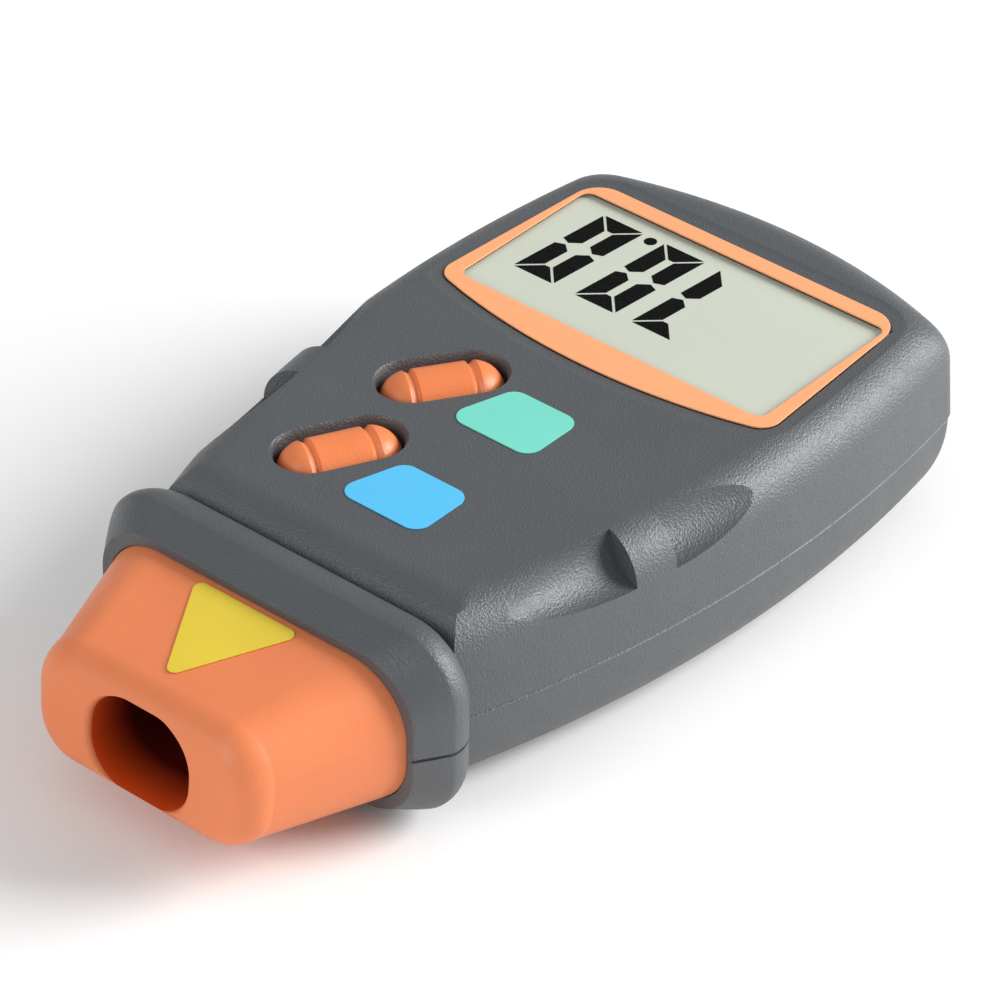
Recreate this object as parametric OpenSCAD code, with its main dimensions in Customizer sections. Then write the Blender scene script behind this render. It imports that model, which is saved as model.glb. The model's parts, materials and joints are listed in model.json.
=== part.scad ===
// Pocket laser tachometer: two-part housing, nose cover, slide-off battery cover,
// display with its driver board, two sprung buttons and the optics behind the nose.
// Millimetres. The nose points along -Y, the display faces +Z, and the part lies on
// its back with the origin in the middle of its footprint.

/* [Housing] */
// Overall length from the tip of the nose to the tail
total_l = 131; // [130:0.5:136]
// Overall width at the widest point
body_w = 70; // [69:0.5:76]
// Height of the flat top face
body_h = 27.4; // [27.4:0.1:30]
// Height of the parting line between the two shells
part_z = 13.3; // [12:0.1:15]
// Thickness of the side walls and of the floor
wall = 2; // [1.8:0.05:2.2]
// Place of the widest point, as a share of the housing's length from the tail
widest_share = 0.405; // [0.36:0.005:0.44]
// Fall of each side from the widest point to the collar
side_fall = 9.9; // [9.2:0.1:10.1]
// Plan radius of the crowned tail
tail_r = 82; // [78:1:90]
// Plan radius of the tail corners
corner_r = 6; // [5:0.1:7]
// Radius of the rounded edge round the top face
top_round = 5.4; // [4.8:0.1:5.8]
// Lean of the upper side walls from the parting line to the rounded edge
side_draft = 0.8; // [0.4:0.1:1.2]
// Width of the rounding round the underside
under_round = 10; // [9:0.1:10.5]
// Step between the two shells at the parting line
part_step = 0.2; // [0.1:0.05:0.4]

/* [Collar] */
// Length of the collar along the housing
collar_l = 9.9; // [9.6:0.1:10.4]
// Distance from the widest side in to the crest of the collar
collar_inset = 5.7; // [4.5:0.1:5.9]
// Rise of the crest over the top face
collar_rise = 0.8; // [0.6:0.1:1.2]
// Height of the underside of the crest
collar_bottom = 1.2; // [0.8:0.1:1.3]
// Fall of the collar's sides from the crest to its two ends
collar_fall = 2.9; // [2.7:0.1:3]
// Corner radius of the collar at its crest
collar_corner_r = 8.5; // [8:0.1:9.5]

/* [Nose cover] */
// Length of the nose cover in front of the collar
nose_l = 22.1; // [20:0.1:24]
// Step from the crest of the collar in to the nose cover
nose_step = 4.3; // [4.1:0.1:4.7]
// Drop from the crest of the collar to the upper face of the nose cover
nose_drop = 3; // [2.8:0.1:3.4]
// Height of its lower face at the collar
nose_base_bottom = 3.6; // [3.5:0.1:4]
// Corner radius at the collar
nose_base_r = 9; // [8:0.1:9.5]
// Taper of each side from the collar to the tip
nose_taper = 7.1; // [6:0.1:8]
// Fall of the upper face from the collar to the tip
nose_fall = 3.2; // [2.2:0.1:3.4]
// Height of its lower face at the tip
nose_tip_bottom = 5.2; // [4.6:0.1:5.4]
// Corner radius at the tip
nose_tip_r = 6.4; // [5.8:0.1:7]
// Rounding between the sides and the front face
nose_round = 3; // [2.4:0.1:3.4]
// Backward lean of the front face, in mm per mm of height
nose_lean_share = 0.19; // [0.12:0.01:0.2]
// Wall of the nose cover
nose_wall = 1.8; // [1.6:0.05:2]
// Width of the light opening
aperture_w = 16.6; // [15:0.1:17]
// Height of the light opening
aperture_h = 13.4; // [12.4:0.1:13.6]
// Corner radius of the light opening
aperture_r = 6; // [5:0.1:6.1]
// Height of the middle of the light opening
aperture_z = 13.5; // [13.2:0.1:13.8]
// Depth from the tip to the end of the duct behind the opening
duct_l = 13; // [12:0.1:14]

/* [Grip scoops] */
// Distance from the widest side to the middle of the scoops
scoop_inset = 2.4; // [2.2:0.1:2.8]
// Height of the middle of the scoops over the top face
scoop_rise = 0.4; // [0.2:0.1:0.8]
// Radius of each scoop at the rib between the two
scoop_r = 5; // [4.6:0.1:5.2]
// Loss of radius from the rib to the tip of a scoop
scoop_taper = 2.6; // [2.4:0.1:2.8]
// Length of the scoops towards the tail, as a share of the housing's length
scoop_tail_share = 0.168; // [0.15:0.001:0.18]
// Length of the scoops towards the nose, as a share of the housing's length
scoop_nose_share = 0.21; // [0.18:0.001:0.22]
// Width of the rib between the scoops
rib_w = 6.6; // [5:0.1:8]
// Place of the rib, as a share of the housing's length from the tail
rib_share = 0.685; // [0.66:0.005:0.7]
// Angle in plan between the scoops and the middle line
scoop_turn = 9.8; // [9:0.1:11]

/* [Display] */
// Thickness of the printed bezel
bezel_t = 0.3; // [0.2:0.05:0.4]
// Length of the bezel, as a share of the housing's length
bezel_share = 0.347; // [0.34:0.001:0.354]
// Distance from the widest side in to the straight edge of the bezel
bezel_inset = 8.3; // [8:0.1:8.6]
// Widening of the bezel from its straight edge to its bowed edge
bezel_flare = 4.6; // [4:0.1:5]
// Plan radius of the bowed edge
bezel_bow_r = 84; // [78:1:92]
// Corner radius of the bezel
bezel_corner_r = 2.6; // [2:0.1:3]
// Distance from the tail to the bezel
bezel_from_tail = 10.6; // [10.6:0.1:11]
// Width of the frame beside the viewing window, at the straight edge
view_margin_x = 0.9; // [0.8:0.05:1.4]
// Width of the frame along the straight edge
view_margin = 3.1; // [2.9:0.1:3.2]
// Width of the frame at the top of the bowed edge
view_margin_bow = 5.5; // [5.3:0.1:6]
// Corner radius of the viewing window
view_r = 0.8; // [0.4:0.1:1]
// Thickness of the clear window pane
window_t = 0.5; // [0.4:0.05:0.6]
// Thickness of the top wall
top_wall = 2.8; // [2.7:0.05:2.9]
// Thickness of the display glass
lcd_t = 1.6; // [1.5:0.05:1.7]
// Display glass beyond the viewing window, at each side
lcd_rim_x = 0.5; // [0.3:0.05:0.5]
// Display glass beyond the viewing window, at each end
lcd_rim_y = 0.5; // [0.3:0.05:0.7]
// Wall of the display holder
holder_wall = 1; // [0.8:0.05:1]
// Height of the contact strips
strip_h = 3; // [2.9:0.05:3.1]
// Width of the contact strips
strip_w = 1.8; // [1.4:0.1:2]

/* [Buttons] */
// Rise of the buttons over the top face
button_rise = 1.6; // [1.5:0.1:2.2]
// Length of a button
button_l = 15.6; // [14.6:0.1:16]
// Width of a button
button_w = 7.4; // [7:0.1:7.6]
// Angle in plan between a button and the width of the housing
button_turn = 56; // [50:1:62]
// Place of the buttons left of the middle line, as a share of the housing's width
button_x_share = 0.1514; // [0.146:0.0001:0.154]
// Place of the test button, as a share of the housing's length from the tail
test_share = 0.612; // [0.608:0.001:0.616]
// Distance between the two buttons, as a share of the housing's length
pitch_share = 0.21; // [0.2:0.001:0.214]
// Gap round a button at its widest
button_gap = 0.25; // [0.2:0.05:0.3]
// Width of the sloped edge of a button well
well_slope = 1.1; // [0.8:0.1:1.2]
// Width of a groove across a button
groove_w = 0.9; // [0.6:0.1:1.2]
// Depth of a groove across a button
groove_depth = 0.45; // [0.3:0.05:0.6]
// Thickness of the flange under a button
button_flange = 0.8; // [0.7:0.05:0.8]
// Travel of a button
button_travel = 0.4; // [0.3:0.05:0.4]
// Width of a label beside a button
label_w = 14.2; // [13:0.1:14.6]
// Length of a label
label_l = 10.3; // [9.6:0.1:10.8]
// Slant of the label edge that faces the button
label_slant = 3.2; // [2.8:0.1:3.6]
// Corner radius of a label
label_r = 2.2; // [1.6:0.1:2.4]
// Thickness of the labels and the sticker
label_t = 0.15; // [0.1:0.05:0.2]
// Distance from a button to the middle of its label, across the housing
label_step = 11.5; // [11.2:0.1:12]
// Side of the triangular sticker
sticker_side = 16.1; // [14:0.1:17]
// Corner radius of the sticker
sticker_r = 1.1; // [0.8:0.1:1.4]

/* [Power] */
// Width of the block battery
battery_w = 26.2; // [25:0.1:26.5]
// Thickness of the block battery
battery_t = 17.2; // [16.5:0.1:17.4]
// Length of the battery's case
battery_l = 46.4; // [45:0.1:46.6]
// Radius of the battery's stud
stud_r = 2.9; // [2.6:0.1:3]
// Radius of the battery's socket
socket_r = 4.1; // [3.8:0.1:4.3]
// Height of the battery's terminals
terminal_h = 2.2; // [2:0.1:2.4]
// Half the distance between the terminals
terminal_half_pitch = 6.35; // [6:0.05:6.5]
// Thickness of the snap connector
snap_t = 4; // [3.4:0.1:4.2]
// Radius of a lead
lead_r = 0.7; // [0.5:0.05:0.8]
// Bend radius of a lead
lead_bend = 2; // [1.6:0.1:2.2]
// Distance from the tail to the end of the battery compartment
bay_from_tail = 8.9; // [8.6:0.1:9.4]
// Wall of the battery compartment
box_wall = 1.6; // [1.4:0.05:1.7]
// Thickness of the battery compartment's roof
roof_t = 0.8; // [0.7:0.05:0.8]
// Thickness of the foam pad behind the battery
pad_t = 1.5; // [1.3:0.1:1.6]
// Width of each rail along the battery cover
rail_w = 1; // [0.8:0.05:1]
// Height of the rails on the battery cover
rail_h = 1.1; // [0.9:0.05:1.2]
// Height of the battery cover's turned-up end
cover_end_h = 8; // [7:0.1:9]

/* [Electronics] */
// Thickness of the main board
board_t = 1; // [0.9:0.05:1]
// Distance between the main board's narrow part and the case screws at the collar
board_screw_gap = 3.6; // [3.4:0.1:4]
// Side of a switch
switch_w = 5.2; // [4.8:0.1:5.6]
// Height of a switch
switch_h = 1.3; // [1.2:0.05:1.35]
// Radius of a switch plunger
plunger_r = 1.5; // [1.2:0.05:1.6]
// Side of the controller chip
chip_w = 10; // [8:0.1:11]
// Height of the controller chip
chip_h = 1.6; // [1.2:0.05:1.8]
// Length of the crystal can
crystal_l = 10; // [9:0.1:11]
// Width of the crystal can
crystal_w = 4; // [3.6:0.1:4.4]
// Radius of the capacitor can
can_r = 2.5; // [2:0.1:3]
// Length of the capacitor can
can_l = 7; // [6:0.1:8]
// Distance of the board's screws from its edges
post_margin = 3; // [2.8:0.1:3.2]
// Room for screws on the main board, in front of the display
board_front_room = 8; // [7.6:0.1:8.6]
// Number of chip resistors
resistor_count = 5; // [2:1:5]

/* [Optics] */
// Radius of the laser barrel
barrel_r = 3.5; // [3.2:0.1:3.6]
// Bore radius of the laser barrel
barrel_bore_r = 2.4; // [2.1:0.1:2.5]
// Place of the laser left of the middle line
laser_x = 5.6; // [5.4:0.1:5.8]
// Radius of the receiver lens
receiver_r = 4.2; // [3.8:0.1:4.3]
// Place of the receiver right of the middle line
receiver_x = 4.4; // [4.3:0.1:4.6]
// Radius of the photodiode
photodiode_r = 2.4; // [2:0.1:2.6]
// Half width of the optics holder
holder_half_w = 11; // [10.8:0.1:11.4]
// Height of the optics holder
optics_h = 14; // [13.4:0.1:14.4]
// Length of the optics holder's block
optics_l = 17; // [16:0.1:17.4]
// Thickness of the dark window and the sensor board
window_plate_t = 1.2; // [1:0.05:1.4]
// Width of the ribbon between the boards
ribbon_w = 8; // [6:0.1:9]
// Thickness of the ribbon
ribbon_t = 0.6; // [0.4:0.05:0.8]

/* [Screws] */
// Shank radius of a case screw
case_screw_r = 1.4; // [1.2:0.05:1.4]
// Head radius of a case screw
case_head_r = 2; // [1.9:0.05:2.1]
// Head height of a case screw
case_head_h = 1.6; // [1.4:0.05:1.8]
// Length of a case screw under its head
case_screw_l = 12; // [11:0.1:13]
// Height of the seats of the case screws
case_seat_z = 5.6; // [5:0.1:6]
// Distance from the battery compartment out to the case screws at the tail
case_from_bay = 6.1; // [5.7:0.1:6.5]
// Distance from the widest side in to the case screws at the collar
case_inset = 13; // [12.6:0.1:13.2]
// Distance of the case screws from the ends of the housing
case_from_end = 8.5; // [8.3:0.1:8.5]
// Place of the optics screws, from the middle line
optics_post_x = 7; // [6:0.1:7.6]
// Shank radius of a small screw
small_screw_r = 1; // [0.9:0.05:1]
// Head radius of a small screw
small_head_r = 1.9; // [1.7:0.05:2]
// Head height of a small screw
small_head_h = 1.2; // [1:0.05:1.3]
// Wall of a screw boss
boss_wall = 1.25; // [1.1:0.05:1.3]

/* [Hidden] */
$fn = 64;

// Clearances: between fixed pieces, round a shank, between faces that meet, under a sliding piece
gap = 0.15;
shank_gap = 0.05;
face_gap = 0.05;
slide_gap = 0.2;
// Overrun of a cut past the face that it opens, and overlap of features that are one solid
cut = 1;
bite = 0.5;

// Steps along the sides, corners and tail of the outline, round a rounded edge and a small corner
side_n = 12;
corner_n = 5;
tail_n = 7;
round_n = 6;
bend_n = 8;
// Least corner radius of an inset outline
corner_min = 3;

// Collar: overlap with the housing, and its profile as [share of its length, share of its fall]
collar_bite = 1;
collar_shares = [
    [0, 1], [0.11, 0.5], [0.21, 0.2], [0.32, 0.04], [0.43, 0], [0.56, 0.1],
    [0.68, 0.3], [0.86, 0.64], [0.96, 0.86], [1, 1]
];
collar_top_share = 0.75;
collar_under_share = 0.45;
// Nose cover: depth inside the collar, its flange, and the passage behind it
nose_lip = 1.9;
flange_t = 1.8;
flange_rise = 0.8;
passage_inset = 1;
duct_wall = 1.2;
window_lap = 0.5;
// Wall kept behind a scoop
scoop_wall = 1.5;
// Room over the battery cover where it curves up
cover_curve = 1;
// Power of the rounded underside and share of its width used at the collar
under_power_share = 2.3;
under_front_share = 0.25;
// Room round small pieces: a well's slope, a button's groove from its middle, the battery's leads
well_depth = 1;
groove_x = 3.9;
button_lip = 0.8;
label_shift = 0.7;
label_drift = 0.6;
sticker_margin = 0.6;
lead_room = 0.8;
lead_slot = 1.6;
snap_w = 23;
snap_h = 12.6;
bay_end_wall = 1.2;
pad_inset = 3;
// Boards and what is on them
board_room = 2.5;
switch_bore_floor = 0.15;
travel_room = 0.05;
chip_shares = [0.27, 0.47];
crystal_shares = [0.41, 0.21];
can_shares = [0.65, 0.37];
resistor_shares = [0.8, 0.22];
resistor_pitch_share = 0.075;
board_lip = 0.05;
resistor_size = [1.25, 2, 0.5];
crystal_h = 2.2;
socket_w = 10;
socket_l = 3;
socket_h = 2.6;
socket_from_board = 0.5;
board_edge_gap = 1;
// Optics
optics_post_back = 7.6;
optics_base_t = 2;
optics_wall = 3.2;
lens_t = 1.6;
lens_crown = 1;
lens_seat = 0.6;
receiver_depth = 9;
diode_l = 6;
barrel_seat = 0.3;
ribbon_drop = 3.4;
ribbon_run = 1;
// Screws
small_screw_l = 4;
optics_screw_l = 5;
pilot_extra = 0.8;

// Places along the housing
tail_y = total_l / 2;
tip_y = -total_l / 2;
collar_front_y = tip_y + nose_l;
neck_y = collar_front_y + collar_l;
front_y = neck_y - collar_bite;
housing_l = tail_y - front_y;
widest_y = tail_y - widest_share * housing_l;
rib_y = tail_y - rib_share * housing_l;
test_y = tail_y - test_share * housing_l;
button_pitch = pitch_share * housing_l;
mem_y = test_y - button_pitch;
scoop_tail_l = scoop_tail_share * housing_l;
scoop_nose_l = scoop_nose_share * housing_l;

// Places across the housing, and the plan radius of its long sides
side_run = widest_y - front_y;
side_r = (side_run * side_run + side_fall * side_fall) / (2 * side_fall);
collar_half_w = body_w / 2 - collar_inset;
nose_base_half_w = collar_half_w - nose_step;
nose_tip_half_w = nose_base_half_w - nose_taper;
button_x = button_x_share * body_w;
label_x = label_step - button_x;

// Heights of the collar, the nose cover and the buttons
collar_top = body_h + collar_rise;
nose_base_top = collar_top - nose_drop;
nose_tip_top = nose_base_top - nose_fall;
nose_lean_z = nose_tip_bottom + nose_round;
button_top = body_h + button_rise;

// Heights of the display stack, from the top face down to the board
bezel_z = body_h - bezel_t;
window_z = bezel_z - window_t;
plate_z = body_h - top_wall;
lcd_z = window_z - gap - lcd_t;
board_top_z = lcd_z - strip_h;
board_z = board_top_z - board_t;

// Plan of the display parts
bezel_l = bezel_share * housing_l;
bezel_tail_w = body_w - 2 * bezel_inset;
bezel_front_w = bezel_tail_w + bezel_flare;
bezel_tail_y = tail_y - bezel_from_tail;
bezel_front_y = bezel_tail_y - bezel_l;
view_w = bezel_tail_w - 2 * view_margin_x;
view_l = bezel_l - view_margin - view_margin_bow;
view_y = bezel_tail_y - view_margin - view_l / 2;
lcd_w = view_w + 2 * lcd_rim_x;
lcd_l = view_l + 2 * lcd_rim_y;

// Battery compartment, from the tail forward
bay_half_w = battery_w / 2 + slide_gap;
cover_half_w = bay_half_w - slide_gap;
battery_z = wall + slide_gap + gap;
battery_mid_z = battery_z + battery_t / 2;
roof_z = board_z - gap - roof_t;
bay_end_y = tail_y - bay_from_tail;
battery_tail_y = bay_end_y - pad_t - 2 * gap;
battery_front_y = battery_tail_y - battery_l;
snap_y = battery_front_y - gap - snap_t;
lead_y = snap_y - lead_bend;
bay_front_y = lead_y - lead_r - lead_room;
cover_front_y = bay_front_y + slide_gap;

// Optics, from the light opening back
duct_end_y = tip_y + duct_l;
optics_front_y = duct_end_y + gap + window_plate_t + face_gap;
optics_back_y = optics_front_y + optics_l;
optics_z = aperture_z - optics_h / 2;
optics_post_y = optics_back_y + optics_post_back;
sensor_back_y = optics_back_y + face_gap + window_plate_t;

// Main board in plan
case_tail_x = bay_half_w + box_wall + case_from_bay;
case_front_x = body_w / 2 - case_inset;
board_half_w = lcd_w / 2 + gap + holder_wall + board_lip;
board_front_half_w = case_front_x - board_screw_gap;
board_front_y = front_y + wall + board_room;
board_wide_l = lcd_l + 2 * (gap + holder_wall) + board_front_room;
board_tail_y = view_y + lcd_l / 2 + gap + holder_wall;
board_step_y = board_tail_y - board_wide_l;
chip_place = board_place(chip_shares);
crystal_place = board_place(crystal_shares);
can_place = board_place(can_shares);
resistor_place = board_place(resistor_shares);
resistor_pitch = resistor_pitch_share * (board_step_y - board_front_y);

// Screws: places of the case screws, the board posts and the optics posts
case_places = [
    for (s = [-1, 1]) each [
        [s * case_tail_x, tail_y - case_from_end],
        [s * case_front_x, front_y + case_from_end]
    ]
];
board_places = [
    for (s = [-1, 1]) each [
        [s * (board_front_half_w - post_margin), board_front_y + post_margin],
        [s * (board_half_w - post_margin), board_step_y + post_margin]
    ]
];
optics_places = [for (s = [-1, 1]) [s * optics_post_x, optics_post_y]];

// Helpers

function mix(a, b, s) = a + (b - a) * s;

// Place on the narrow part of the main board, from its middle line and its front edge
function board_place(shares) =
    [shares.x * board_front_half_w, mix(board_front_y, board_step_y, shares.y)];

// Crossing of two circles on their left-hand side, looking from a to b
function meet(a, ra, b, rb) =
    let (ab = b - a, l = norm(ab), u = ab / l, s = (ra * ra - rb * rb + l * l) / (2 * l))
    a + s * u + sqrt(ra * ra - s * s) * [-u.y, u.x];

function arc(c, r, a0, a1, n, first = 0) =
    [for (i = [first:n]) let (t = mix(a0, a1, i / n)) c + r * [cos(t), sin(t)]];

// Arc that rounds corner p of an outline between its neighbours a and b
function round_corner(a, p, b, r) =
    let (
        u = (a - p) / norm(a - p),
        v = (b - p) / norm(b - p),
        half = acos(u * v) / 2,
        c = p + (u + v) / norm(u + v) * r / sin(half),
        p0 = p + u * r / tan(half) - c,
        p1 = p + v * r / tan(half) - c,
        a0 = atan2(p0.y, p0.x),
        turn = (atan2(p1.y, p1.x) - a0 + 540) % 360 - 180
    )
    arc(c, r, a0, a0 + turn, round_n);

// Outline with a rounded corner wherever its radius is over zero
function rounded(pts, radii) =
    let (n = len(pts))
    [
        for (i = [0:n - 1])
            each radii[i] > 0
                ? round_corner(pts[(i + n - 1) % n], pts[i], pts[(i + 1) % n], radii[i])
                : [pts[i]]
    ];

// Rounded rectangle between heights z0 and z1, symmetrical about the middle line
function slab_outline(half_w, z0, z1, r) = [
    for (q = [[1, 0, -90], [1, 1, 0], [-1, 1, 90], [-1, 0, 180]])
        each arc([q[0] * (half_w - r), mix(z0 + r, z1 - r, q[1])], r, q[2], q[2] + 90, bend_n)
];

// Skin through rings of equally many points, each counter-clockwise seen from the last ring
module loft(rings) {
    n = len(rings[0]);
    m = len(rings);
    polyhedron(
        points = [for (ring = rings) each ring],
        faces = concat(
            [[for (i = [0:n - 1]) i]],
            [[for (i = [n - 1:-1:0]) (m - 1) * n + i]],
            [
                for (k = [0:m - 2], i = [0:n - 1])
                    let (a = k * n + i, b = k * n + (i + 1) % n)
                    each [[a, a + n, b + n], [a, b + n, b]]
            ]
        )
    );
}

// Plate in the X-Z plane whose rear face is at y
module upright(y, t) translate([0, y, 0]) rotate([90, 0, 0]) linear_extrude(t) children();

// Cylinder along Y from y0 to y1
module rod_y(x, y0, y1, z, r) translate([x, y0, z]) rotate([-90, 0, 0]) cylinder(r = r, h = y1 - y0);

module box(x0, x1, y0, y1, z0, z1) translate([x0, y0, z0]) cube([x1 - x0, y1 - y0, z1 - z0]);

// Everything on one side of the parting line
module above_parting() box(-total_l, total_l, -total_l, total_l, part_z, total_l);
module below_parting() box(-total_l, total_l, -total_l, total_l, -total_l, part_z);

module both_sides() for (s = [0, 1]) mirror([s, 0, 0]) children();

// Housing outline

// Right half of the plan, inset by d along the sides and tail and by df at the collar
function half_outline(d, df) =
    let (
        a = [body_w / 2 - side_r, widest_y],
        b = [0, tail_y - tail_r],
        r = max(corner_r - d, corner_min),
        c = meet(a, side_r - d - r, b, tail_r - d - r),
        start = asin((front_y + df - widest_y) / (side_r - d)),
        a1 = atan2(c.y - a.y, c.x - a.x),
        a2 = atan2(c.y - b.y, c.x - b.x)
    )
    concat(
        arc(a, side_r - d, start, a1, side_n),
        arc(c, r, a1, a2, corner_n, 1),
        arc(b, tail_r - d, a2, 90, tail_n, 1)
    );

function plan_ring(d, df, z) =
    let (h = half_outline(d, df), n = len(h))
    [
        for (p = h) [p.x, p.y, z],
        for (i = [n - 2:-1:0]) [-h[i].x, h[i].y, z]
    ];

// Share of the way round a rounded edge of the given power
function turn_share(t, power) = 1 - pow(t, 2 / power);

module upper_body() loft([
    plan_ring(0, 0, part_z),
    for (a = [0:90 / round_n:90])
        let (d = side_draft + top_round * (1 - cos(a)))
        plan_ring(d, d, body_h - top_round + top_round * sin(a))
]);

module upper_cavity()
    let (rise = plate_z - (body_h - top_round), run = top_round - wall)
    loft([
        plan_ring(wall, wall, part_z - cut),
        for (a = [0:30:90])
            let (d = side_draft + wall + run * (1 - cos(a)))
            plan_ring(d, d, body_h - top_round + rise * sin(a))
    ]);

// Underside rings, with the floor at height floor_z and walls inset by w
function under_rings(w, floor_z) = [
    for (a = [90:-90 / round_n:0])
        let (d = (under_round - w) * turn_share(cos(a), under_power_share))
        plan_ring(
            part_step + w + d,
            part_step + w + d * under_front_share,
            mix(floor_z, part_z, turn_share(sin(a), under_power_share))
        )
];

module lower_body() loft(under_rings(0, 0));

module lower_cavity() loft(concat(
    under_rings(wall, wall),
    [plan_ring(part_step + wall, part_step + wall, part_z + cut)]
));

// Grip scoops: a pair of half spindles on each side, grown by g, with a rib between them
module half_scoop(l, g) rotate_extrude() polygon([
    [0, 0],
    for (i = [0:round_n * 2])
        let (s = i / (round_n * 2))
        [scoop_r + g - scoop_taper * s * s, s * l],
    [0, l]
]);

module scoops(g) both_sides()
    translate([body_w / 2 - scoop_inset, rib_y, body_h + scoop_rise])
    rotate([0, 0, -scoop_turn])
    union() {
        rotate([-90, 0, 0]) translate([0, 0, rib_w / 2 - g]) half_scoop(scoop_tail_l, g);
        rotate([90, 0, 0]) translate([0, 0, rib_w / 2 - g]) half_scoop(scoop_nose_l, g);
    }

// Collar and nose

module collar_body() loft([
    for (p = collar_shares)
        let (e = collar_fall * p[1])
        [
            for (q = slab_outline(
                collar_half_w - e,
                collar_bottom + e * collar_under_share,
                collar_top - e * collar_top_share,
                collar_corner_r
            )) [q.x, neck_y - collar_l * p[0], q.y]
        ]
]);

// Section of the nose at share s of its length, inset by d
function nose_outline(s, d) = slab_outline(
    mix(nose_base_half_w, nose_tip_half_w, s) - d,
    mix(nose_base_bottom, nose_tip_bottom, s) + d,
    mix(nose_base_top, nose_tip_top, s) - d,
    mix(nose_base_r, nose_tip_r, s) - min(d, nose_tip_r / 2)
);

// Rings of the nose from inside the collar to the leaning front face, inset by w
function nose_rings(w, back) = [
    [for (p = nose_outline(0, w)) [p.x, collar_front_y + back, p.y]],
    [for (p = nose_outline(0, w)) [p.x, collar_front_y, p.y]],
    for (a = [0:30:90]) [
        for (i = [0:4 * (bend_n + 1) - 1])
            let (
                lean = nose_lean_share * (nose_outline(1, w)[i].y - nose_lean_z),
                d = w + nose_round * (1 - cos(a)),
                p = nose_outline(1 - (nose_round + w + lean) / nose_l, d)[i]
            )
            [
                p.x,
                tip_y + w + nose_lean_share * (p.y - nose_lean_z) + nose_round * (1 - sin(a)),
                p.y
            ]
    ]
];

module nose_plan(g) polygon(nose_outline(0, -g));

module duct_plan(g) polygon(slab_outline(
    aperture_w / 2 + g,
    aperture_z - aperture_h / 2 - g,
    aperture_z + aperture_h / 2 + g,
    aperture_r + g
));

// Room in the collar for the nose cover, its flange and the optics
module collar_bore() {
    upright(collar_front_y + nose_lip, nose_lip + cut) nose_plan(gap);
    upright(collar_front_y + nose_lip + flange_t + 2 * gap, flange_t + 2 * gap)
        nose_plan(flange_rise + gap);
    upright(front_y + wall + cut, front_y + wall + cut - collar_front_y - nose_lip)
        nose_plan(-passage_inset);
}

// Capsule along X, in plan
module capsule(l, w) {
    square([l - w, w], center = true);
    for (s = [-1, 1]) translate([s * (l - w) / 2, 0]) circle(d = w);
}

module at_button(y) translate([-button_x, y, 0]) rotate([0, 0, button_turn]) children();

// Well for a button: a straight hole with a sloped edge at the top face
module button_well(y)
    let (w = button_w + 2 * button_gap, straight = button_l - button_w, h = well_depth + cut)
    at_button(y) {
        translate([0, 0, plate_z - cut]) linear_extrude(top_wall + 2 * cut) capsule(w + straight, w);
        translate([0, 0, body_h - well_depth]) {
            for (s = [-1, 1]) translate([s * straight / 2, 0, 0])
                cylinder(r1 = w / 2, r2 = w / 2 + well_slope * h / well_depth, h = h);
            rotate([90, 0, 90]) linear_extrude(straight, center = true) polygon([
                [-w / 2, 0],
                [w / 2, 0],
                [w / 2 + well_slope * h / well_depth, h],
                [-w / 2 - well_slope * h / well_depth, h]
            ]);
        }
    }

// Bezel outline grown by g: straight at the tail, bowed towards the buttons
module bezel_plan(g)
    let (
        r = bezel_bow_r + g,
        swing = asin((bezel_front_w / 2 + g) / r),
        bow = arc([0, bezel_front_y + bezel_bow_r], r, -90 - swing, -90 + swing, side_n),
        half_w = bezel_tail_w / 2 + g,
        y = bezel_tail_y + g
    )
    polygon(rounded(
        concat(bow, [[half_w, y], [-half_w, y]]),
        [for (i = [0:side_n + 2]) i > 0 && i < side_n ? 0 : bezel_corner_r]
    ));

module view_plan() translate([0, view_y]) offset(r = view_r)
    square([view_w - 2 * view_r, view_l - 2 * view_r], center = true);

module lcd_plan(g) translate([0, view_y]) square([lcd_w + 2 * g, lcd_l + 2 * g], center = true);

// Screw: head below z, shank above it
module screw(z, l, r, head_r, head_h) {
    translate([0, 0, z - head_h]) cylinder(r = head_r, h = head_h);
    translate([0, 0, z - head_h]) cylinder(r = r, h = head_h + l);
}

module at_places(places) for (p = places) translate([p.x, p.y, 0]) children();

// Housing

module front_shell() color("dimgray") difference() {
    union() {
        difference() {
            union() {
                upper_body();
                intersection() {
                    collar_body();
                    above_parting();
                }
            }
            difference() {
                upper_cavity();
                scoops(scoop_wall);
            }
        }
        at_places(case_places) translate([0, 0, part_z])
            cylinder(r = case_screw_r + shank_gap + boss_wall, h = plate_z + bite - part_z);
        at_places(board_places) translate([0, 0, board_top_z])
            cylinder(r = small_screw_r + shank_gap + boss_wall, h = plate_z + bite - board_top_z);
    }
    scoops(0);
    collar_bore();
    translate([0, 0, window_z]) linear_extrude(window_t + bezel_t + cut) bezel_plan(gap);
    translate([0, 0, plate_z - cut]) linear_extrude(top_wall + cut) lcd_plan(gap);
    translate([0, 0, board_top_z]) linear_extrude(plate_z - board_top_z)
        lcd_plan(2 * gap + holder_wall);
    button_well(test_y);
    button_well(mem_y);
    at_places(case_places) translate([0, 0, part_z - cut])
        cylinder(r = case_screw_r + shank_gap, h = case_seat_z + case_screw_l + pilot_extra - part_z + cut);
    at_places(board_places) translate([0, 0, board_top_z - cut])
        cylinder(r = small_screw_r + shank_gap, h = small_screw_l - board_t + cut);
}

module battery_bay() difference() {
    box(
        -bay_half_w - box_wall, bay_half_w + box_wall,
        bay_front_y - box_wall, bay_end_y + bay_end_wall,
        wall - bite, roof_z + roof_t
    );
    box(-bay_half_w, bay_half_w, bay_front_y, bay_end_y, 0, roof_z);
    box(
        -terminal_half_pitch - lead_slot, terminal_half_pitch + lead_slot,
        bay_front_y, lead_y + lead_slot,
        roof_z - cut, roof_z + roof_t + cut
    );
}

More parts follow.
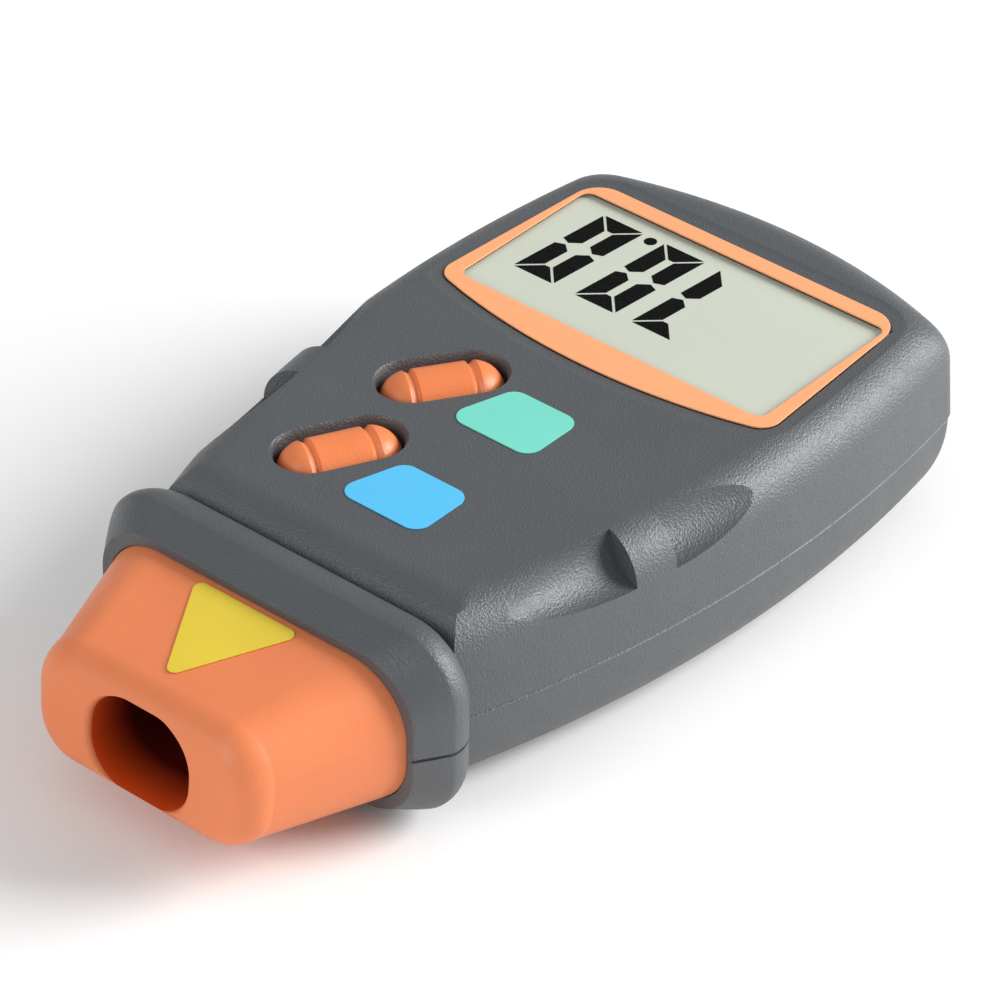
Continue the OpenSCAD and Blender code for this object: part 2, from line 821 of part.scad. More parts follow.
// Way of the battery cover out of the rear shell: its plate, its rails and its turned-up end
module cover_way() {
    box(-bay_half_w, bay_half_w, bay_front_y, tail_y + cut, -cut, wall + slide_gap);
    box(
        -bay_half_w - rail_w, bay_half_w + rail_w,
        bay_front_y, tail_y + cut,
        wall - rail_h - slide_gap, wall + slide_gap
    );
    box(
        -bay_half_w, bay_half_w,
        bay_end_y - pad_t, tail_y + cut,
        -cut, wall + cover_curve
    );
    box(
        -bay_half_w, bay_half_w,
        bay_end_y + bay_end_wall, tail_y + cut,
        -cut, cover_end_h + slide_gap
    );
}

module rear_shell() color("dimgray") difference() {
    union() {
        difference() {
            lower_body();
            lower_cavity();
        }
        difference() {
            intersection() {
                collar_body();
                below_parting();
            }
            lower_cavity();
        }
        intersection() {
            lower_body();
            at_places(case_places)
                cylinder(r = case_head_r + 2 * gap + boss_wall, h = part_z);
        }
        at_places(optics_places) translate([0, 0, wall - bite])
            cylinder(r = small_screw_r + shank_gap + boss_wall, h = optics_z - wall + bite);
        battery_bay();
    }
    collar_bore();
    cover_way();
    at_places(case_places) {
        translate([0, 0, -cut]) cylinder(r = case_head_r + gap, h = case_seat_z + cut);
        cylinder(r = case_screw_r + gap, h = part_z + cut);
    }
    at_places(optics_places) translate([0, 0, wall])
        cylinder(r = small_screw_r + shank_gap, h = optics_z);
}

module nose_cover() color("coral") difference() {
    union() {
        difference() {
            loft(nose_rings(0, nose_lip + flange_t));
            loft(nose_rings(nose_wall, nose_lip + flange_t + cut));
        }
        intersection() {
            loft(nose_rings(0, nose_lip));
            upright(duct_end_y, duct_l + cut) duct_plan(duct_wall);
        }
        difference() {
            upright(collar_front_y + nose_lip + gap + flange_t, flange_t) nose_plan(flange_rise);
            upright(collar_front_y + nose_lip + gap + flange_t + cut, flange_t + 2 * cut)
                nose_plan(-nose_wall);
        }
    }
    upright(duct_end_y + cut, duct_l + 2 * cut) duct_plan(0);
}

module battery_cover() color("dimgray") {
    intersection() {
        difference() {
            lower_body();
            lower_cavity();
        }
        box(-cover_half_w, cover_half_w, cover_front_y, tail_y + cut, -cut, cover_end_h);
    }
    difference() {
        box(
            -cover_half_w - rail_w, cover_half_w + rail_w,
            cover_front_y, tail_y - under_round - part_step - wall,
            wall - rail_h, wall
        );
        box(
            -cover_half_w + bite, cover_half_w - bite,
            cover_front_y - cut, tail_y,
            wall - rail_h - cut, wall + cut
        );
    }
}

// Display

module display_bezel() color("sandybrown") translate([0, 0, bezel_z]) linear_extrude(bezel_t)
    difference() {
        bezel_plan(0);
        view_plan();
    }

module display_window() color("azure", 0.4) translate([0, 0, window_z])
    linear_extrude(window_t) bezel_plan(0);

module lcd_panel() color("darkseagreen") translate([0, 0, lcd_z]) linear_extrude(lcd_t) lcd_plan(0);

module lcd_holder() color("black") translate([0, 0, board_top_z])
    linear_extrude(plate_z - gap - board_top_z)
    difference() {
        lcd_plan(gap + holder_wall);
        lcd_plan(gap);
    }

module lcd_contact_strips() color("hotpink") for (s = [-1, 1])
    translate([0, view_y + s * (lcd_l / 2 - strip_w / 2 - gap), board_top_z])
    linear_extrude(strip_h) square([lcd_w - 2 * strip_w, strip_w], center = true);

// Boards

module board_plan() {
    translate([-board_half_w, board_step_y]) square([2 * board_half_w, board_wide_l]);
    translate([-board_front_half_w, board_front_y])
        square([2 * board_front_half_w, board_step_y - board_front_y + board_edge_gap]);
}

module main_board() color("darkgreen") difference() {
    translate([0, 0, board_z]) linear_extrude(board_t) board_plan();
    at_places(board_places) translate([0, 0, board_z - cut])
        cylinder(r = small_screw_r + gap, h = board_t + 2 * cut);
}

module controller_chip() color("black") translate([chip_place.x, chip_place.y, board_top_z])
    linear_extrude(chip_h) square(chip_w, center = true);

module crystal_can() color("silver") translate([crystal_place.x, crystal_place.y, board_top_z])
    linear_extrude(crystal_h) capsule(crystal_l, crystal_w);

module capacitor_can() color("navy") translate([can_place.x, can_place.y, board_z - can_l])
    cylinder(r = can_r, h = can_l);

module chip_resistors() color("black") for (i = [0:resistor_count - 1])
    translate([resistor_place.x, resistor_place.y + i * resistor_pitch, board_top_z])
    linear_extrude(resistor_size.z) square([resistor_size.x, resistor_size.y], center = true);

// Buttons

module switch_body(y) color("dimgray") at_button(y) difference() {
    translate([0, 0, board_top_z]) linear_extrude(switch_h) square(switch_w, center = true);
    translate([0, 0, board_top_z + switch_bore_floor])
        cylinder(r = plunger_r + shank_gap, h = switch_h);
}

module plunger(y)
    let (
        top = plate_z - face_gap - button_flange,
        low = board_top_z + switch_bore_floor + button_travel + travel_room
    )
    color("saddlebrown") at_button(y) translate([0, 0, low]) cylinder(r = plunger_r, h = top - low);

module button_cap(y)
    let (r = button_w / 2, straight = button_l - button_w, flange_z = plate_z - face_gap - button_flange)
    color("chocolate") at_button(y) {
        translate([0, 0, flange_z]) linear_extrude(button_flange)
            capsule(button_l + 2 * button_lip, button_w + 2 * button_lip);
        translate([0, 0, flange_z]) linear_extrude(button_top - r - flange_z)
            capsule(button_l, button_w);
        difference() {
            translate([0, 0, button_top - r]) {
                rotate([0, 90, 0]) cylinder(r = r, h = straight, center = true);
                for (s = [-1, 1]) translate([s * straight / 2, 0, 0]) sphere(r = r);
            }
            box(-button_l, button_l, -button_l, button_l, flange_z - button_l, button_top - r - face_gap);
            for (s = [-1, 1]) translate([s * groove_x, 0, button_top - r])
                rotate([0, 90, 0]) difference() {
                    cylinder(r = 2 * r, h = groove_w, center = true);
                    cylinder(r = r - groove_depth, h = groove_w + cut, center = true);
                }
        }
    }

module test_button() button_cap(test_y);
module mem_button() button_cap(mem_y);
module test_plunger() plunger(test_y);
module mem_plunger() plunger(mem_y);
module test_switch() switch_body(test_y);
module mem_switch() switch_body(mem_y);

// Labels

module button_label(y)
    let (x = label_w / 2, l = label_l / 2)
    translate([label_x, y, body_h])
    linear_extrude(label_t)
    polygon(rounded(
        [[-x, -l], [x, -l], [x, l], [label_slant - x, l]],
        [for (i = [0:3]) label_r]
    ));

module test_label() color("mediumaquamarine") button_label(test_y + label_shift);
module mem_label() color("deepskyblue") button_label(mem_y + label_shift - label_drift);

module nose_sticker()
    let (slope = atan((nose_base_top - nose_tip_top) / nose_l), h = sticker_side * sqrt(3) / 2)
    color("gold")
    translate([0, collar_front_y, nose_base_top + face_gap])
    rotate([slope, 0, 0])
    translate([0, -sticker_margin, 0])
    linear_extrude(label_t)
    polygon(rounded(
        [[sticker_side / 2, 0], [-sticker_side / 2, 0], [0, -h]],
        [for (i = [0:2]) sticker_r]
    ));

// Optics

module optics_window() color("darkred", 0.5)
    upright(duct_end_y + gap + window_plate_t, window_plate_t) duct_plan(window_lap);

module optics_holder() color("black") difference() {
    union() {
        box(
            -holder_half_w, holder_half_w,
            optics_front_y, optics_back_y,
            optics_z, optics_z + optics_h
        );
        box(
            -holder_half_w, holder_half_w,
            optics_back_y - bite, optics_post_y + optics_wall,
            optics_z, optics_z + optics_base_t
        );
    }
    rod_y(-laser_x, optics_front_y - cut, optics_back_y + cut, aperture_z, barrel_r + shank_gap);
    rod_y(receiver_x, optics_front_y - cut, optics_front_y + receiver_depth, aperture_z,
        receiver_r + shank_gap);
    rod_y(receiver_x, optics_front_y, optics_back_y + cut, aperture_z, photodiode_r + shank_gap);
    at_places(optics_places) translate([0, 0, optics_z - cut])
        cylinder(r = small_screw_r + gap, h = optics_base_t + 2 * cut);
}

module laser_barrel() color("goldenrod") difference() {
    rod_y(-laser_x, optics_front_y + barrel_seat, optics_back_y, aperture_z, barrel_r);
    rod_y(-laser_x, optics_front_y - cut, optics_back_y + cut, aperture_z, barrel_bore_r);
}

module laser_lens() color("lightcyan", 0.5) rod_y(
    -laser_x,
    optics_front_y + barrel_seat + lens_seat, optics_front_y + barrel_seat + lens_seat + lens_t,
    aperture_z, barrel_bore_r - shank_gap
);

module laser_diode() color("silver")
    rod_y(-laser_x, optics_back_y - diode_l, optics_back_y, aperture_z, barrel_bore_r - shank_gap);

// Lens with a flat back and a crowned front
module receiver_lens()
    let (
        y = optics_front_y + lens_seat + lens_crown,
        crown_r = (receiver_r * receiver_r + lens_crown * lens_crown) / (2 * lens_crown)
    )
    color("lightcyan", 0.5) {
        rod_y(receiver_x, y, y + lens_t, aperture_z, receiver_r);
        intersection() {
            rod_y(receiver_x, y - lens_crown, y + bite, aperture_z, receiver_r);
            translate([receiver_x, y - lens_crown + crown_r, aperture_z]) sphere(r = crown_r);
        }
    }

module photodiode() color("midnightblue")
    rod_y(receiver_x, optics_back_y - diode_l, optics_back_y, aperture_z, photodiode_r);

module sensor_board() color("darkgreen") box(
    -holder_half_w + board_edge_gap, holder_half_w - board_edge_gap,
    optics_back_y + face_gap, sensor_back_y,
    optics_z + optics_base_t + gap, optics_z + optics_h
);

// Flat ribbon from the sensor board up to its socket under the main board
module sensor_ribbon()
    let (
        y0 = sensor_back_y,
        y1 = board_front_y + socket_from_board,
        z1 = board_z - socket_h / 2,
        z0 = z1 - ribbon_drop
    )
    color("ivory") rotate([90, 0, 90]) linear_extrude(ribbon_w, center = true) polygon([
        [y0, z0],
        [y0 + ribbon_run, z0],
        [y1 - ribbon_run, z1],
        [y1, z1],
        [y1, z1 + ribbon_t],
        [y1 - ribbon_run, z1 + ribbon_t],
        [y0 + ribbon_run, z0 + ribbon_t],
        [y0, z0 + ribbon_t]
    ]);

module ribbon_socket() color("ivory") box(
    -socket_w / 2, socket_w / 2,
    board_front_y + socket_from_board, board_front_y + socket_from_board + socket_l,
    board_z - socket_h, board_z
);

// Power

module battery() color("slategray") {
    box(-battery_w / 2, battery_w / 2, battery_front_y, battery_tail_y, battery_z, battery_z + battery_t);
    for (t = [[-1, stud_r], [1, socket_r]]) rod_y(
        t[0] * terminal_half_pitch,
        battery_front_y - terminal_h, battery_front_y + bite,
        battery_mid_z, t[1]
    );
}

module battery_snap() color("black") difference() {
    box(
        -snap_w / 2, snap_w / 2,
        snap_y, snap_y + snap_t,
        battery_mid_z - snap_h / 2, battery_mid_z + snap_h / 2
    );
    for (t = [[-1, stud_r], [1, socket_r]]) rod_y(
        t[0] * terminal_half_pitch,
        battery_front_y - terminal_h - gap, battery_front_y,
        battery_mid_z, t[1] + shank_gap
    );
}

// Lead from the snap connector up to the main board
module lead(x) {
    translate([x, snap_y, battery_mid_z + lead_bend])
        rotate([-90, 0, 0]) rotate([0, 90, 0])
        rotate_extrude(angle = 90) translate([lead_bend, 0]) circle(r = lead_r);
    translate([x, lead_y, battery_mid_z + lead_bend])
        cylinder(r = lead_r, h = board_z - battery_mid_z - lead_bend);
}

module red_lead() color("red") lead(-terminal_half_pitch);
module black_lead() color("black") lead(terminal_half_pitch);

module battery_pad() color("gray") box(
    -battery_w / 2 + pad_inset, battery_w / 2 - pad_inset,
    battery_tail_y + gap, battery_tail_y + gap + pad_t,
    battery_z + pad_inset, battery_z + battery_t - pad_inset
);

// Screws

module case_screws() color("silver") at_places(case_places)
    screw(case_seat_z, case_screw_l, case_screw_r, case_head_r, case_head_h);

module board_screws() color("silver") at_places(board_places)
    screw(board_z, small_screw_l, small_screw_r, small_head_r, small_head_h);

module optics_screws() color("silver") at_places(optics_places)
    translate([0, 0, optics_z + optics_base_t]) rotate([180, 0, 0])
    screw(0, optics_screw_l, small_screw_r, small_head_r, small_head_h);

front_shell();
rear_shell();
nose_cover();
battery_cover();
display_bezel();
display_window();
lcd_panel();
lcd_holder();
lcd_contact_strips();
main_board();
controller_chip();
crystal_can();
capacitor_can();
chip_resistors();
test_button();
mem_button();
test_plunger();
mem_plunger();
test_switch();
mem_switch();
test_label();
mem_label();
nose_sticker();
optics_window();
optics_holder();
laser_barrel();
laser_lens();
laser_diode();
receiver_lens();
photodiode();
sensor_board();
sensor_ribbon();
ribbon_socket();
battery();
battery_snap();
red_lead();
black_lead();
battery_pad();
case_screws();
board_screws();
optics_screws();
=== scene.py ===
"""Pocket laser tachometer: detailed shells, display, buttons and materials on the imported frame.

Lengths in this script are millimetres in the frame of the model, and become metres where a
mesh is made.
"""
import json
import math

import bmesh
import bpy
from mathutils import Matrix, Vector


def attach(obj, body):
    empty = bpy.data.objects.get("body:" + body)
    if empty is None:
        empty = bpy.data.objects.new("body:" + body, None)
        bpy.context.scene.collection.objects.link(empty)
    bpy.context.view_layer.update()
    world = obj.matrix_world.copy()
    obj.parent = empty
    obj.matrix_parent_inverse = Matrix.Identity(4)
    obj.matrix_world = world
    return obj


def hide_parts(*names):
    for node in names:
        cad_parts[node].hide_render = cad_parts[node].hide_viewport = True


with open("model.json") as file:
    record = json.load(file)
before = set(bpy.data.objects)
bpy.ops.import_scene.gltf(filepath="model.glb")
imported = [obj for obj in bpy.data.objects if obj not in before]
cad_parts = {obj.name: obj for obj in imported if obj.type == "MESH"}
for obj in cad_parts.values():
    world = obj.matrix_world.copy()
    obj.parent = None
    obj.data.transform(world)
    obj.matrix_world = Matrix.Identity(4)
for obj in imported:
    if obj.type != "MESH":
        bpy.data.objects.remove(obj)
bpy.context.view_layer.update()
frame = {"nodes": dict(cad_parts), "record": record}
NODES = frame["nodes"]
SLOTS = {row["node"]: row["material_slot"] for row in frame["record"]["subparts"]}
MM = 0.001

# How far a cutting tool reaches past what it cuts, and a block that takes half of a piece
PAST = 1.0
HALF_REACH, HALF_HEIGHT = 90, 60

# Steps of the round stretches
SIDE_STEPS, CORNER_STEPS, TAIL_STEPS = 48, 16, 20
ROUND_STEPS, CAVITY_STEPS, UNDER_STEPS = 16, 8, 24
NOSE_STEPS, LIP_STEPS, BOW_STEPS, BOW_TRIM = 12, 8, 40, 3
SCOOP_STATIONS, SCOOP_POINTS = 32, 72

# Housing: the places follow the model, the top is that of the photo
TOTAL_L, BODY_W, BODY_H = 131.0, 69.6, 28.05
PART_Z, WALL = 13.3, 2.0
NOSE_L, COLLAR_L, COLLAR_BITE = 21.9, 9.8, 1.0
TAIL_Y = TOTAL_L / 2
TIP_Y = -TOTAL_L / 2
COLLAR_FRONT_Y = TIP_Y + NOSE_L
NECK_Y = COLLAR_FRONT_Y + COLLAR_L
FRONT_Y = NECK_Y - COLLAR_BITE
HOUSING_L = TAIL_Y - FRONT_Y
WIDEST_SHARE, SIDE_FALL = 0.405, 9.9
WIDEST_Y = TAIL_Y - WIDEST_SHARE * HOUSING_L
SIDE_R = ((WIDEST_Y - FRONT_Y) ** 2 + SIDE_FALL ** 2) / (2 * SIDE_FALL)
TAIL_R, CORNER_R, CORNER_GROWTH = 82.0, 4.3, 0.5
TOP_ROUND, SIDE_DRAFT, SEAM = 6.4, 0.4, 0.28
UNDER_ROUND, UNDER_POWER, UNDER_FRONT_SHARE, PART_STEP = 10.0, 2.3, 0.25, 0.2
PLATE_Z = 24.6
SHELL_GAP = 0.15

# Collar: its profile is pairs of a share of its length and a share of its fall
COLLAR_HALF_W, COLLAR_TOP, COLLAR_BOTTOM, COLLAR_FALL, COLLAR_R = 29.0, 27.95, 1.2, 2.9, 8.4
COLLAR_SHARES = [
    (0, 1), (0.1, 0.55), (0.2, 0.25), (0.32, 0.07), (0.43, 0), (0.52, 0.01),
    (0.58, 0.09), (0.72, 0.37), (0.86, 0.68), (0.96, 0.9), (1, 1),
]
COLLAR_TOP_SHARE, COLLAR_UNDER_SHARE = 0.75, 0.45

# Nose cover: half width, bottom, top and corner radius where it leaves the collar and at the tip
NOSE_BASE = (24.9, 3.6, 24.5, 8.9)
NOSE_TIP = (17.0, 5.4, 21.9, 6.6)
NOSE_ROUND, NOSE_LEAN, NOSE_WALL = 4.6, 0.1, 1.8
NOSE_LEAN_Z = NOSE_TIP[1] + NOSE_ROUND - 0.5
NOSE_RADIUS_KEPT = NOSE_TIP[3] / 2
NOSE_LIP, FLANGE_T, FLANGE_RISE, PASSAGE_INSET = 1.9, 1.8, 0.8, 1.0
APERTURE_HALF_W, APERTURE_HALF_H, APERTURE_R, APERTURE_Z = 8.3, 6.7, 6.0, 13.5
APERTURE_LIP, APERTURE_CLEAR, DUCT_L, DUCT_WALL = 0.9, 4.0, 13.0, 1.2
DUCT_SIDE_TOLERANCE, DUCT_LIP_TOLERANCE = 0.2, 0.05

# Painted shade inside the light opening: between these two depths behind the face, the duct wall's
# colour runs from the first colour to the darker second one
DUCT_SHADE_START_DEPTH, DUCT_SHADE_FULL_DEPTH = 1.2, 8.0
DUCT_SHADE_NEAR_COLOR, DUCT_SHADE_DEEP_COLOR = (0.75, 0.08, 0.008), (0.07, 0.002, 0.0005)

# Grip scoops
SCOOP_X, SCOOP_Y, SCOOP_Z = 32.3, -4.3, 27.7
SCOOP_R, SCOOP_TAPER, SCOOP_TURN, RIB_W = 5.8, 3.3, 9.8, 6.6
SCOOP_TAIL_L, SCOOP_NOSE_L, SCOOP_WALL = 17.3, 22.0, 1.3

# Display
BEZEL_T, PANE_T, LCD_T = 0.3, 0.3, 1.6
BEZEL_TAIL_HALF_W, BEZEL_FRONT_HALF_W = 26.0, 28.0
BEZEL_BOW_R, BEZEL_R, BEZEL_TAIL_MORE = 95.7, 3.0, 1.2
BEZEL_TAIL_Y = 53.7
BEZEL_FRONT_Y = 18.8
VIEW_HALF_W, VIEW_R = 25.5, 1.5
VIEW_TAIL_Y, VIEW_FRONT_Y = 51.0, 24.4
LCD_RIM, LCD_TOP_Z = 0.5, BODY_H - BEZEL_T - PANE_T - SHELL_GAP
BEZEL_EDGE, LCD_EDGE, FILM_EDGE, VIEW_STEPS = 0.18, 0.15, 0.05, 6

# Dished band round the bezel: pairs of depth below the top and distance from the bezel
DISH = ((0.3, SHELL_GAP), (0.24, 1.3), (0.14, 1.9), (0.0, 2.4))

# Seven-segment figures: the reader sees them from the nose end, so their x runs towards -X
FIGURE_H, FIGURE_W, BAR_W, BAR_GAP = 17.3, 6.9, 2.75, 0.26
FIGURE_SLANT = 0.086
BAR_TIP_SHARE = 0.42
FIGURE_TOP_Y, FIGURE_T, FIGURE_LIFT = 31.35, 0.03, 0.005
LIT = {"0": "abcdef", "7": "abc"}
FIGURES = [("7", 6.7), ("0", -2.98), ("0", -13.56)]
POINT_X, POINT_R = -11.7, 0.9

# Buttons
BUTTON_X, BUTTON_L, BUTTON_W, BUTTON_TOP = 11.4, 16.8, 8.5, 28.98
BUTTON_TURN = {"test": 56.0, "mem": 62.0}
BUTTON_Y = {"test": 4.8, "mem": -15.1}
LABEL_X, LABEL_Y = 1.75, {"test": 3.45, "mem": -17.95}
LABEL_HALF_W, LABEL_HALF_L, LABEL_SLANT, LABEL_R, LABEL_T = 7.1, 5.15, 3.2, 2.2, 0.15
STICKER_SIDE, STICKER_R, STICKER_T, STICKER_MARGIN, STICKER_LIFT = 17.9, 1.1, 0.15, 0.8, 0.05
BUTTON_GAP, WELL_SLOPE, WELL_DEPTH = 0.3, 0.45, 0.8
GROOVE_X, GROOVE_W, GROOVE_DEPTH, GROOVE_EDGE = 4.1, 0.9, 0.5, 0.15
FLANGE_LIP, BUTTON_FLANGE, FACE_GAP = 0.8, 0.8, 0.05
PILL_STATIONS, PILL_END_STEP, PILL_ROUND_STEP, PILL_POLE = 40, 5, 6, 0.005

# Battery compartment, cover and screws
BAY_HALF_W, BAY_FRONT_Y, BAY_END_Y, BAY_ROOF_Z = 13.3, 0.75, 56.6, 19.95
BAY_WALL, BAY_ROOF_T, BAY_END_WALL, COVER_GAP = 1.6, 0.8, 1.2, 0.2
COVER_END_H, RAIL_W, RAIL_H = 8.0, 1.0, 1.1
COVER_EDGE, RAIL_BITE, RAIL_FRONT, RAIL_TAIL, RAIL_DROP = 0.25, 0.5, 0.5, 2.2, 0.02
BAY_FLOOR_BITE, BAY_SIDE_CUT = 0.5, 1.5
GRIP_COUNT, GRIP_START, GRIP_PITCH, GRIP_W, GRIP_DEPTH = 6, 6, 1.9, 1.0, 0.45
GRIP_HALF_L, GRIP_SHORTER, GRIP_STEPS = 8.0, 0.55, 10
CASE_PLACES = [(s * x, y) for s in (-1, 1) for x, y in ((21.0, 57.0), (22.0, -26.0))]
CASE_HEAD_R, CASE_SEAT_Z, CASE_BORE_R = 2.0, 5.6, 1.55
CASE_BOSS_R = CASE_HEAD_R + CASE_BORE_R

# Camera of the photograph: place, turn about X, Y and Z in degrees, and clipping in metres
CAMERA_AT = (366.4202, -429.4941, 429.0435)
CAMERA_TURN = (53.83015, -0.36654, 40.53273)
CAMERA_LENS, SENSOR = 195.408, 36.0
CLIP_NEAR, CLIP_FAR = 0.05, 20

# Studio: the floor in millimetres, the lights in metres and watts
FLOOR_HALF, FLOOR_TOP_Z, FLOOR_T = 4000, -0.02, 2.0
WORLD_STRENGTH = 0.45
LIGHTS = {
    "key": {"at": (0.62, 0.66, 0.48), "size": 0.65, "power": 13.5},
    "fill": {"at": (-0.2, -0.9, 0.5), "size": 0.6, "power": 3.5},
}


# Plane curves

def mix(a, b, s):
    return a + (b - a) * s


def arc(cx, cy, r, a0, a1, n, first=0):
    turns = [math.radians(mix(a0, a1, i / n)) for i in range(first, n + 1)]
    return [(cx + r * math.cos(t), cy + r * math.sin(t)) for t in turns]


def circle(cx, cy, r, n):
    return arc(cx, cy, r, 0, 360 - 360 / n, n - 1)


def quarter(steps):
    """Angles of a quarter turn in even steps, in radians."""
    return [math.radians(90 * i / steps) for i in range(steps + 1)]


def meet(a, ra, b, rb):
    """Crossing of two circles on their left-hand side, looking from a to b."""
    dx, dy = b[0] - a[0], b[1] - a[1]
    apart = math.hypot(dx, dy)
    s = (ra * ra - rb * rb + apart * apart) / (2 * apart)
    h = math.sqrt(ra * ra - s * s)
    return a[0] + (s * dx - h * dy) / apart, a[1] + (s * dy + h * dx) / apart


def half_outline(d, df):
    """Right half of the housing's plan, inset by d at its side and tail and by df at the collar."""
    a, b = (BODY_W / 2 - SIDE_R, WIDEST_Y), (0.0, TAIL_Y - TAIL_R)
    r = CORNER_R + CORNER_GROWTH * d
    c = meet(a, SIDE_R - d - r, b, TAIL_R - d - r)
    start = math.degrees(math.asin((FRONT_Y + df - WIDEST_Y) / (SIDE_R - d)))
    a1 = math.degrees(math.atan2(c[1] - a[1], c[0] - a[0]))
    a2 = math.degrees(math.atan2(c[1] - b[1], c[0] - b[0]))
    return (arc(*a, SIDE_R - d, start, a1, SIDE_STEPS) + arc(*c, r, a1, a2, CORNER_STEPS, 1)
            + arc(*b, TAIL_R - d, a2, 90, TAIL_STEPS, 1))


def plan_ring(d, df, z):
    half = half_outline(d, df)
    return [(x, y, z) for x, y in half] + [(-x, y, z) for x, y in half[-2::-1]]


def slab_outline(half_w, low, high, r, n=16):
    """Rounded rectangle, symmetrical about the middle line."""
    corners = ((1, low + r, -90), (1, high - r, 0), (-1, high - r, 90), (-1, low + r, 180))
    out = []
    for side, mid, turn in corners:
        out += arc(side * (half_w - r), mid, r, turn, turn + 90, n)
    return out


def smooth_shares(pairs, steps):
    """Points of a smooth curve through pairs, by Catmull-Rom."""
    out = []
    for i in range(len(pairs) - 1):
        p0, p1 = pairs[max(i - 1, 0)], pairs[i]
        p2, p3 = pairs[i + 1], pairs[min(i + 2, len(pairs) - 1)]
        for k in range(steps):
            t = k / steps
            out.append(tuple(
                0.5 * (2 * p1[j] + (p2[j] - p0[j]) * t
                       + (2 * p0[j] - 5 * p1[j] + 4 * p2[j] - p3[j]) * t * t
                       + (3 * p1[j] - p0[j] - 3 * p2[j] + p3[j]) * t ** 3)
                for j in (0, 1)))
    return out + [pairs[-1]]


def round_corner(a, p, b, r, n=8):
    """Arc of radius r in the corner p between the ways to a and to b."""
    u, v = Vector(a) - Vector(p), Vector(b) - Vector(p)
    u.normalize(), v.normalize()
    half = math.acos(max(-1, min(1, u.dot(v)))) / 2
    c = Vector(p) + (u + v).normalized() * r / math.sin(half)
    p0 = Vector(p) + u * r / math.tan(half) - c
    p1 = Vector(p) + v * r / math.tan(half) - c
    a0 = math.degrees(math.atan2(p0.y, p0.x))
    a1 = math.degrees(math.atan2(p1.y, p1.x))
    return arc(c.x, c.y, r, a0, a0 + (a1 - a0 + 540) % 360 - 180, n)


def rounded_polygon(pts, r):
    out = []
    for i, p in enumerate(pts):
        out += round_corner(pts[i - 1], p, pts[(i + 1) % len(pts)], r)
    return out


def bezel_outline(g):
    """Straight at the tail, bowed towards the buttons, grown by g."""
    r = BEZEL_BOW_R + g
    swing = math.degrees(math.asin((BEZEL_FRONT_HALF_W + g) / r))
    bow = arc(0, BEZEL_FRONT_Y + BEZEL_BOW_R, r, -90 - swing, -90 + swing, BOW_STEPS)
    half_w, y = BEZEL_TAIL_HALF_W + g, BEZEL_TAIL_Y + g
    left, right = (-half_w, y), (half_w, y)
    front_r, tail_r = BEZEL_R + g, BEZEL_R + BEZEL_TAIL_MORE + g
    first, last = BOW_TRIM, BOW_STEPS - BOW_TRIM
    return (round_corner(left, bow[0], bow[first], front_r) + bow[first + 1:last]
            + round_corner(bow[last], bow[-1], right, front_r)
            + round_corner(bow[-1], right, left, tail_r)
            + round_corner(right, left, bow[0], tail_r))


def capsule_outline(length, width, n=24):
    x, r = (length - width) / 2, width / 2
    return arc(x, 0, r, -90, 90, n) + arc(-x, 0, r, 90, 270, n)


def placed(pts, x, y, turn):
    c, s = math.cos(math.radians(turn)), math.sin(math.radians(turn))
    return [(x + c * a - s * b, y + s * a + c * b) for a, b in pts]


# Meshes

def level(outline, z):
    return [(x, y, z) for x, y in outline]


def across(outline, y):
    """Ring at one place along the model, of an outline in X and Z."""
    return [(x, y, z) for x, z in outline]


def loft(rings):
    """Closed skin over rings of equally many points."""
    n = len(rings[0])
    verts = [p for ring in rings for p in ring]
    faces = [
        (k * n + i, k * n + (i + 1) % n, (k + 1) * n + (i + 1) % n, (k + 1) * n + i)
        for k in range(len(rings) - 1) for i in range(n)
    ]
    faces += [tuple(range(n - 1, -1, -1)), tuple(range((len(rings) - 1) * n, len(rings) * n))]
    return verts, faces


def prism(outline, z0, z1):
    return loft([level(outline, z) for z in (z0, z1)])


def upright(outline, y0, y1):
    """Prism along Y of an outline in X and Z."""
    return loft([across(outline, y) for y in (y0, y1)])


def block(x0, x1, y0, y1, z0, z1):
    return prism([(x0, y0), (x1, y0), (x1, y1), (x0, y1)], z0, z1)


def disc(x, y, r, z0, z1, n=48):
    return prism(circle(x, y, r, n), z0, z1)


def solid(name, geometry):
    """Object from (vertices in millimetres, faces), with its faces turned outwards."""
    verts, faces = geometry
    mesh = bpy.data.meshes.new(name)
    mesh.from_pydata([Vector(v) * MM for v in verts], [], faces)
    work = bmesh.new()
    work.from_mesh(mesh)
    bmesh.ops.remove_doubles(work, verts=work.verts, dist=1e-7)
    bmesh.ops.recalc_face_normals(work, faces=work.faces)
    work.to_mesh(mesh)
    work.free()
    obj = bpy.data.objects.new(name, mesh)
    bpy.context.scene.collection.objects.link(obj)
    return obj


def apply_modifiers(obj):
    graph = bpy.context.evaluated_depsgraph_get()
    mesh = bpy.data.meshes.new_from_object(obj.evaluated_get(graph))
    obj.modifiers.clear()
    obj.data = mesh


def combine(obj, how, *tools):
    """obj with each tool added, cut away or kept in common; the tools are used up."""
    for tool in tools:
        if not isinstance(tool, bpy.types.Object):
            tool = solid("tool", tool)
        step = obj.modifiers.new("step", "BOOLEAN")
        step.operation, step.object, step.solver = how, tool, "MANIFOLD"
        apply_modifiers(obj)
        bpy.data.objects.remove(tool)
    return obj


def add(obj, *tools):
    return combine(obj, "UNION", *tools)


def cut(obj, *tools):
    return combine(obj, "DIFFERENCE", *tools)


def keep(obj, *tools):
    return combine(obj, "INTERSECT", *tools)


def bevel(obj, width, segments=3, angle=40):
    step = obj.modifiers.new("bevel", "BEVEL")
    step.width, step.segments = width * MM, segments
    step.limit_method, step.angle_limit = "ANGLE", math.radians(angle)
    step.harden_normals = False
    apply_modifiers(obj)
    return obj


